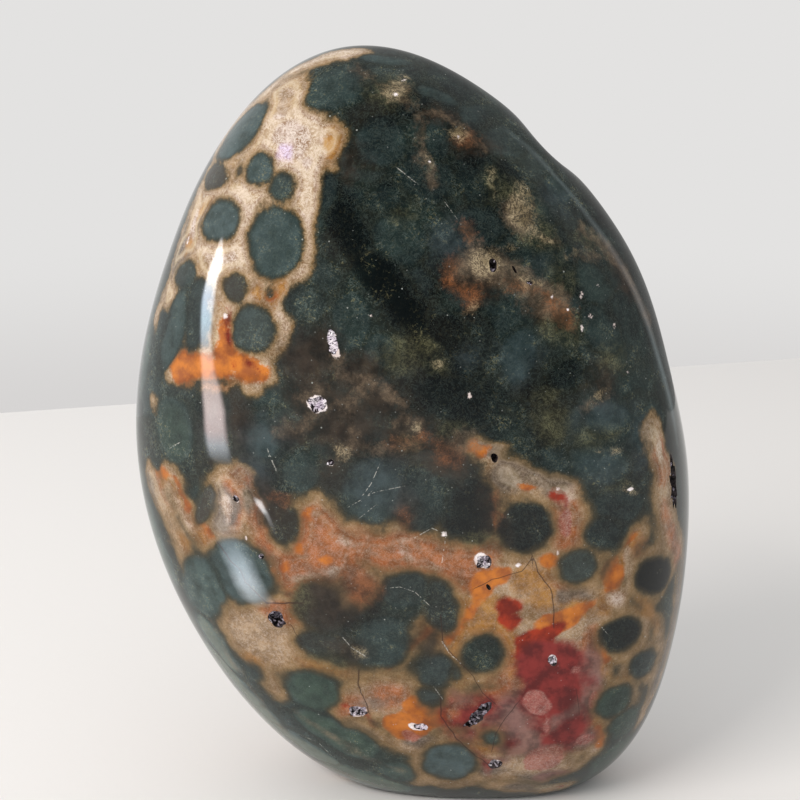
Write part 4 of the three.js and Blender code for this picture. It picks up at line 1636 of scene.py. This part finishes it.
@dataclass
class JasperStone:
    """The whole stone: polished surface, pits, pattern and the druse in the pits."""

    form: StoneForm
    druse: Druse
    squares: int = 122
    draw: float = 0.2
    crease: float = 40.0

    def build(self) -> None:
        """Makes the stone and its crust, dresses them and hands them to the frame."""
        directions, squares = ball_directions(self.squares, self.draw)
        points = self.form.surface(directions)
        skin = Skin(points, squares)
        for gleam in GLEAMS:
            gleam.build(skin)
        stone = make_object("polished_stone", points, squares)
        stone.data.materials.append(JasperFinish().build())
        self.cut(stone, skin)
        self.paint(stone, Pattern(skin, self.form, self.druse.pits))
        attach(stone, BODY)
        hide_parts(NODE)
        log.info("stone: %d vertices, %d faces", len(stone.data.vertices), len(stone.data.polygons))
        crust_points, crust_faces, smoke = self.druse.crust(skin)
        crust = make_object("druse_crust", crust_points, crust_faces, smooth=False)
        write_attribute(crust.data, "smoke", smoke)
        crust.data.materials.append(QUARTZ.build())
        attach(crust, BODY)
        log.info("druse crust: %d faces", len(crust.data.polygons))

    def cut(self, stone: bpy.types.Object, skin: Skin) -> None:
        """Cuts the pits out of the stone, with rough walls and sharp edges."""
        lumps = make_object("pit_lumps", *self.druse.cutters(skin))
        # The pit walls' dark colour is painted shade.
        stone.data.materials.append(PIT_WALL.build())
        for material in stone.data.materials:
            lumps.data.materials.append(material)
        lumps.data.polygons.foreach_set("material_index", np.ones(len(lumps.data.polygons), int))
        cut = stone.modifiers.new("pits", "BOOLEAN")
        cut.operation = "DIFFERENCE"
        cut.object = lumps
        cut.solver = "MANIFOLD"
        evaluated = stone.evaluated_get(bpy.context.evaluated_depsgraph_get())
        settled = bpy.data.meshes.new_from_object(evaluated)
        stone.modifiers.clear()
        stone.data = settled
        bpy.data.objects.remove(lumps)
        stone.data.set_sharp_from_angle(angle=np.radians(self.crease))

    def paint(self, stone: bpy.types.Object, pattern: Pattern) -> None:
        """Writes the pattern's fields into the mesh, one attribute of three values each."""
        places = np.empty(len(stone.data.vertices) * 3, np.float32)
        stone.data.vertices.foreach_get("co", places)
        points = places.reshape(-1, 3).astype(float) / MM
        for name, values in pattern.fields(points).items():
            write_attribute(stone.data, name, values)


# ---- Floor and light ----------------------------------------------------------------------------


def compass(azimuth: float, elevation: float) -> tuple[float, float, float]:
    """Unit direction at an azimuth, 0 being -Y and 90 being +X, and an elevation, in degrees."""
    turn, lift = np.radians((azimuth, elevation))
    return (
        float(np.sin(turn) * np.cos(lift)),
        float(-np.cos(turn) * np.cos(lift)),
        float(np.sin(lift)),
    )


@dataclass(frozen=True)
class Lamp:
    """A soft area light that looks at the stone: direction and distance, size in mm, watts, colour.

    Azimuth 0 is towards -Y and runs to +X. The polish doesn't reflect it; the gleams stand for it.
    """

    name: str
    azimuth: float
    elevation: float
    distance: float
    size: Place
    watts: float
    colour: str = "#ffffff"
    aim: Spot = (-8.0, 0.0, 50.0)

    def build(self) -> None:
        """Makes the light."""
        data = bpy.data.lights.new(self.name, "AREA")
        data.shape = "RECTANGLE"
        data.size = self.size[0] * MM
        data.size_y = self.size[1] * MM
        data.energy = self.watts
        data.color = linear(self.colour)[:3]
        lamp = bpy.data.objects.new(self.name, data)
        aim = Vector(self.aim)
        lamp.location = (aim + Vector(compass(self.azimuth, self.elevation)) * self.distance) * MM
        towards = aim * MM - lamp.location
        lamp.rotation_euler = towards.to_track_quat("-Z", "Y").to_euler()
        lamp.visible_glossy = False
        bpy.context.scene.collection.objects.link(lamp)


@dataclass(frozen=True)
class GleamRow:
    """One row across a gleam: where the frame shows its left and right ends, and its light."""

    left: Place
    right: Place
    strength: float
    colour: str = "#ffffff"


def gleam_rows(*rows: tuple[Any, ...]) -> tuple[GleamRow, ...]:
    """Rows of a gleam from x and y of both ends, strength and colour."""
    return tuple(GleamRow(row[:2], row[2:4], *row[4:]) for row in rows)


@dataclass(frozen=True)
class Gleam:
    """A bent strip of light that only the polish sees, standing for a bright gap in the room.

    It is built backwards: each row's ends lie where the lines of sight go once the stone has
    reflected them. Outside its ends the light fades over `fade` of the row's length.
    """

    name: str
    rows: tuple[GleamRow, ...]
    fade: float = 0.12
    distance: float = 150.0

    def build(self, skin: Skin) -> None:
        """Makes the strip and hides it from everything but reflections."""
        shares = np.array([-self.fade, self.fade, 1 - self.fade, 1 + self.fade])
        level = np.array([0.0, 1.0, 1.0, 0.0])
        points, light = [], []
        for row in self.rows:
            left, right = (self.mirrored(at, skin) for at in (row.left, row.right))
            points.append(left + np.outer(shares, right - left))
            light.append(np.outer(level, np.array(linear(row.colour)[:3]) * row.strength))
        corners = np.arange(len(self.rows) * len(shares)).reshape(-1, len(shares))
        strip = make_object(self.name, np.concatenate(points), grid_faces(corners))
        colours = np.concatenate(light)
        write_attribute(strip.data, "light", np.hstack([colours, np.ones((len(colours), 1))]))
        strip.data.materials.append(self.glow())
        for kind in ("camera", "diffuse", "shadow", "transmission", "volume_scatter"):
            setattr(strip, f"visible_{kind}", False)
        log.info("%s: %d rows", self.name, len(self.rows))

    def mirrored(self, at: Place, skin: Skin) -> Array:
        """Place at `distance` along the reflected line of sight."""
        look = CAMERA.look(at)
        point, normal = skin.seen_at(at)
        return point + self.distance * (look - 2 * (look @ normal) * normal)

    def glow(self) -> bpy.types.Material:
        """Material that adds the strip's own light to what is behind it."""
        material = bpy.data.materials.new(self.name)
        node = emptied(material)
        lit = node("Emission", node("Attribute", attribute_name="light", out="Color"))
        node("OutputMaterial", Surface=node("AddShader", lit, node("BsdfTransparent")))
        return material


GLEAMS = (
    Gleam("window_gap", gleam_rows(
        (220, 238, 223, 238, 10), (217, 250, 223, 250, 28), (211, 265, 222, 265, 30),
        (206, 280, 218, 280, 30), (203, 298, 214, 298, 26, "#dcecff"), (201, 320, 212, 320, 26, "#d4ecfa"),
        (201, 342, 211, 342, 20, "#d8e4ee"), (201, 355, 212, 355, 14, "#ffe4d8"),
        (202, 372, 214, 372, 12, "#ffe4dc"), (202, 386, 219, 386, 19, "#ffe6e0"),
        (205, 410, 223, 410, 22, "#ffeae6"), (206, 430, 225, 430, 19, "#ffe8e6"),
        (207, 446, 228, 446, 15, "#e6ecf4"), (210, 456, 230, 458, 6, "#e0e8f0"), (216, 464, 232, 466, 0),
    )),
    Gleam("lower_gap", gleam_rows(
        (213, 484, 234, 484, 0), (214, 502, 236, 504, 2.5, "#e8e4ea"), (218, 532, 238, 534, 2.5, "#dfe6ee"),
        (223, 548, 243, 546, 8, "#cfe2ee"), (231, 568, 249, 562, 16, "#dceaf4"),
        (238, 584, 256, 578, 19, "#e4ecf4"), (245, 598, 264, 594, 12, "#e8ecf0"), (252, 608, 272, 606, 0),
    ), 0.3, 40.0),
    Gleam("chip_of_light", gleam_rows(
        (253, 498, 257, 498, 8), (256, 503, 262, 502, 26), (261, 511, 266, 509, 26),
        (265, 516, 269, 514, 8), (272, 530, 275, 529, 1.5), (277, 540, 279, 539, 0),
    ), 0.12, 60.0),
    Gleam("high_window", gleam_rows(
        (279, 143, 293, 143, 6, "#8a78ff"), (277, 148, 293, 149, 12, "#9484ff"),
        (276, 158, 292, 158, 11, "#a090ff"), (277, 164, 292, 165, 2, "#b8aaf4"),
    ), 0.15),
    Gleam("shoulder_line", gleam_rows(
        (498, 124, 501, 122, 0, "#cfe0e4"), (529, 151, 532, 149, 0.9, "#cfe0e4"),
        (559, 183, 562, 181, 1.1, "#cfe0e4"), (586, 217, 589, 215, 1.1, "#cfe0e4"),
        (606, 246, 610, 244, 1.2, "#e0dcd8"), (626, 280, 630, 278, 1.1, "#e0dcd8"),
        (640, 310, 644, 308, 1.1, "#e0dcd8"), (655, 352, 658, 351, 0.8, "#cfe0e4"),
        (668, 400, 671, 399, 0.6, "#cfe0e4"), (676, 450, 678, 450, 0, "#cfe0e4"),
    ), 0.5),
)


@dataclass(frozen=True)
class Glow:
    """A part of the surroundings: azimuth and elevation of its middle, in degrees.

    Between the outer and the inner angle from there the surroundings blend to `level`.
    """

    azimuth: float
    elevation: float
    outer: float
    inner: float
    level: float


@dataclass(frozen=True)
class Studio:
    """Plain pale table in front of a pale wall, with soft light. Lengths are in millimetres."""

    floor_colour: str = "#e6e5e4"
    floor_rough: float = 0.6
    wall: str = "#e3e2e1"
    wall_foot_shade: str = "#d6d4d3"
    # Rises of the line of sight between which the wall darkens to its foot: painted shade where the wall
    # meets the table.
    wall_shade_fade: Place = (-0.14, -0.25)
    air: str = "#f6f5f4"
    ambient: float = 0.86
    room: float = 0.8
    floor_front: float = -240.0
    floor_back: float = 284.0
    floor_slant: float = 0.295
    floor_half: float = 700.0
    lamps: tuple[Lamp, ...] = (Lamp("window", -46, 36, 900, (480, 300), 5.9, "#fff8f2"),)
    glows: tuple[Glow, ...] = (
        Glow(-115, 5, 70, 25, 1.15),
        Glow(115, 5, 70, 30, 0.45),
        Glow(143, 15, 48, 25, 0.3),
        Glow(0, 90, 60, 30, 0.5),
        Glow(15, 35, 62, 30, 0.02),
    )

    def build(self) -> None:
        """Makes the floor, the surroundings and the lamps."""
        self.build_floor()
        self.build_world()
        for lamp in self.lamps:
            lamp.build()
        settings = bpy.context.scene.view_settings
        settings.view_transform = "Standard"
        settings.look = "None"
        log.info("studio: floor and %d lamps", len(self.lamps))

    def build_floor(self) -> None:
        """Makes a flat pale floor whose back edge runs aslant behind the stone."""
        half, rise = self.floor_half, self.floor_half * self.floor_slant
        corners = (
            (-half, self.floor_front, 0.0),
            (half, self.floor_front, 0.0),
            (half, self.floor_back + rise, 0.0),
            (-half, self.floor_back - rise, 0.0),
        )
        floor = make_object("table_top", np.array(corners), np.array([[0, 1, 2, 3]]))
        material = bpy.data.materials.new("matt_white_laminate")
        node = emptied(material)
        shader = node("BsdfPrincipled", Base_Color=self.floor_colour, Roughness=self.floor_rough)
        node("OutputMaterial", Surface=shader)
        floor.data.materials.append(material)

    def build_world(self) -> None:
        """Makes the surroundings: the wall that the camera sees, the room that the polish
        reflects, and even soft light for everything else.

        The wall darkens a little towards its foot, by the elevation of the line of sight: painted shade
        where it meets the table.
        """
        world = bpy.data.worlds.new("surroundings")
        bpy.context.scene.world = world
        node = emptied(world)
        towards = node("TexCoord", out="Generated")
        level: Any = self.room
        for glow in self.glows:
            facing = node("VectorMath.DOT_PRODUCT", towards, compass(glow.azimuth, glow.elevation))
            edges = np.cos(np.radians((glow.outer, glow.inner))).tolist()
            level = node(TIMES_PLUS, node(FADE, facing, *edges), node(MINUS, glow.level, level), level)
        # Painted shade: the wall's colour darkens towards the table.
        foot = node(FADE, node("SeparateXYZ", towards, out=2), *self.wall_shade_fade)
        seen = node("Background", node(BLEND, foot, self.wall, self.wall_foot_shade), 1.0)
        shown = node("Background", self.air, self.ambient)
        rays = node("LightPath").node.outputs
        shown = node("MixShader", rays["Is Glossy Ray"], shown, node("Background", self.air, level))
        shown = node("MixShader", rays["Is Camera Ray"], shown, seen)
        node("OutputWorld", Surface=shown)


# ---- The scene ----------------------------------------------------------------------------------


def main() -> None:
    """Builds the scene in order and reports each piece."""
    logging.basicConfig(level=logging.INFO, format="%(name)s: %(message)s")
    CAMERA.build()
    Studio().build()
    JasperStone(StoneForm(), Druse(PITS)).build()


if __name__ == "__main__":
    main()
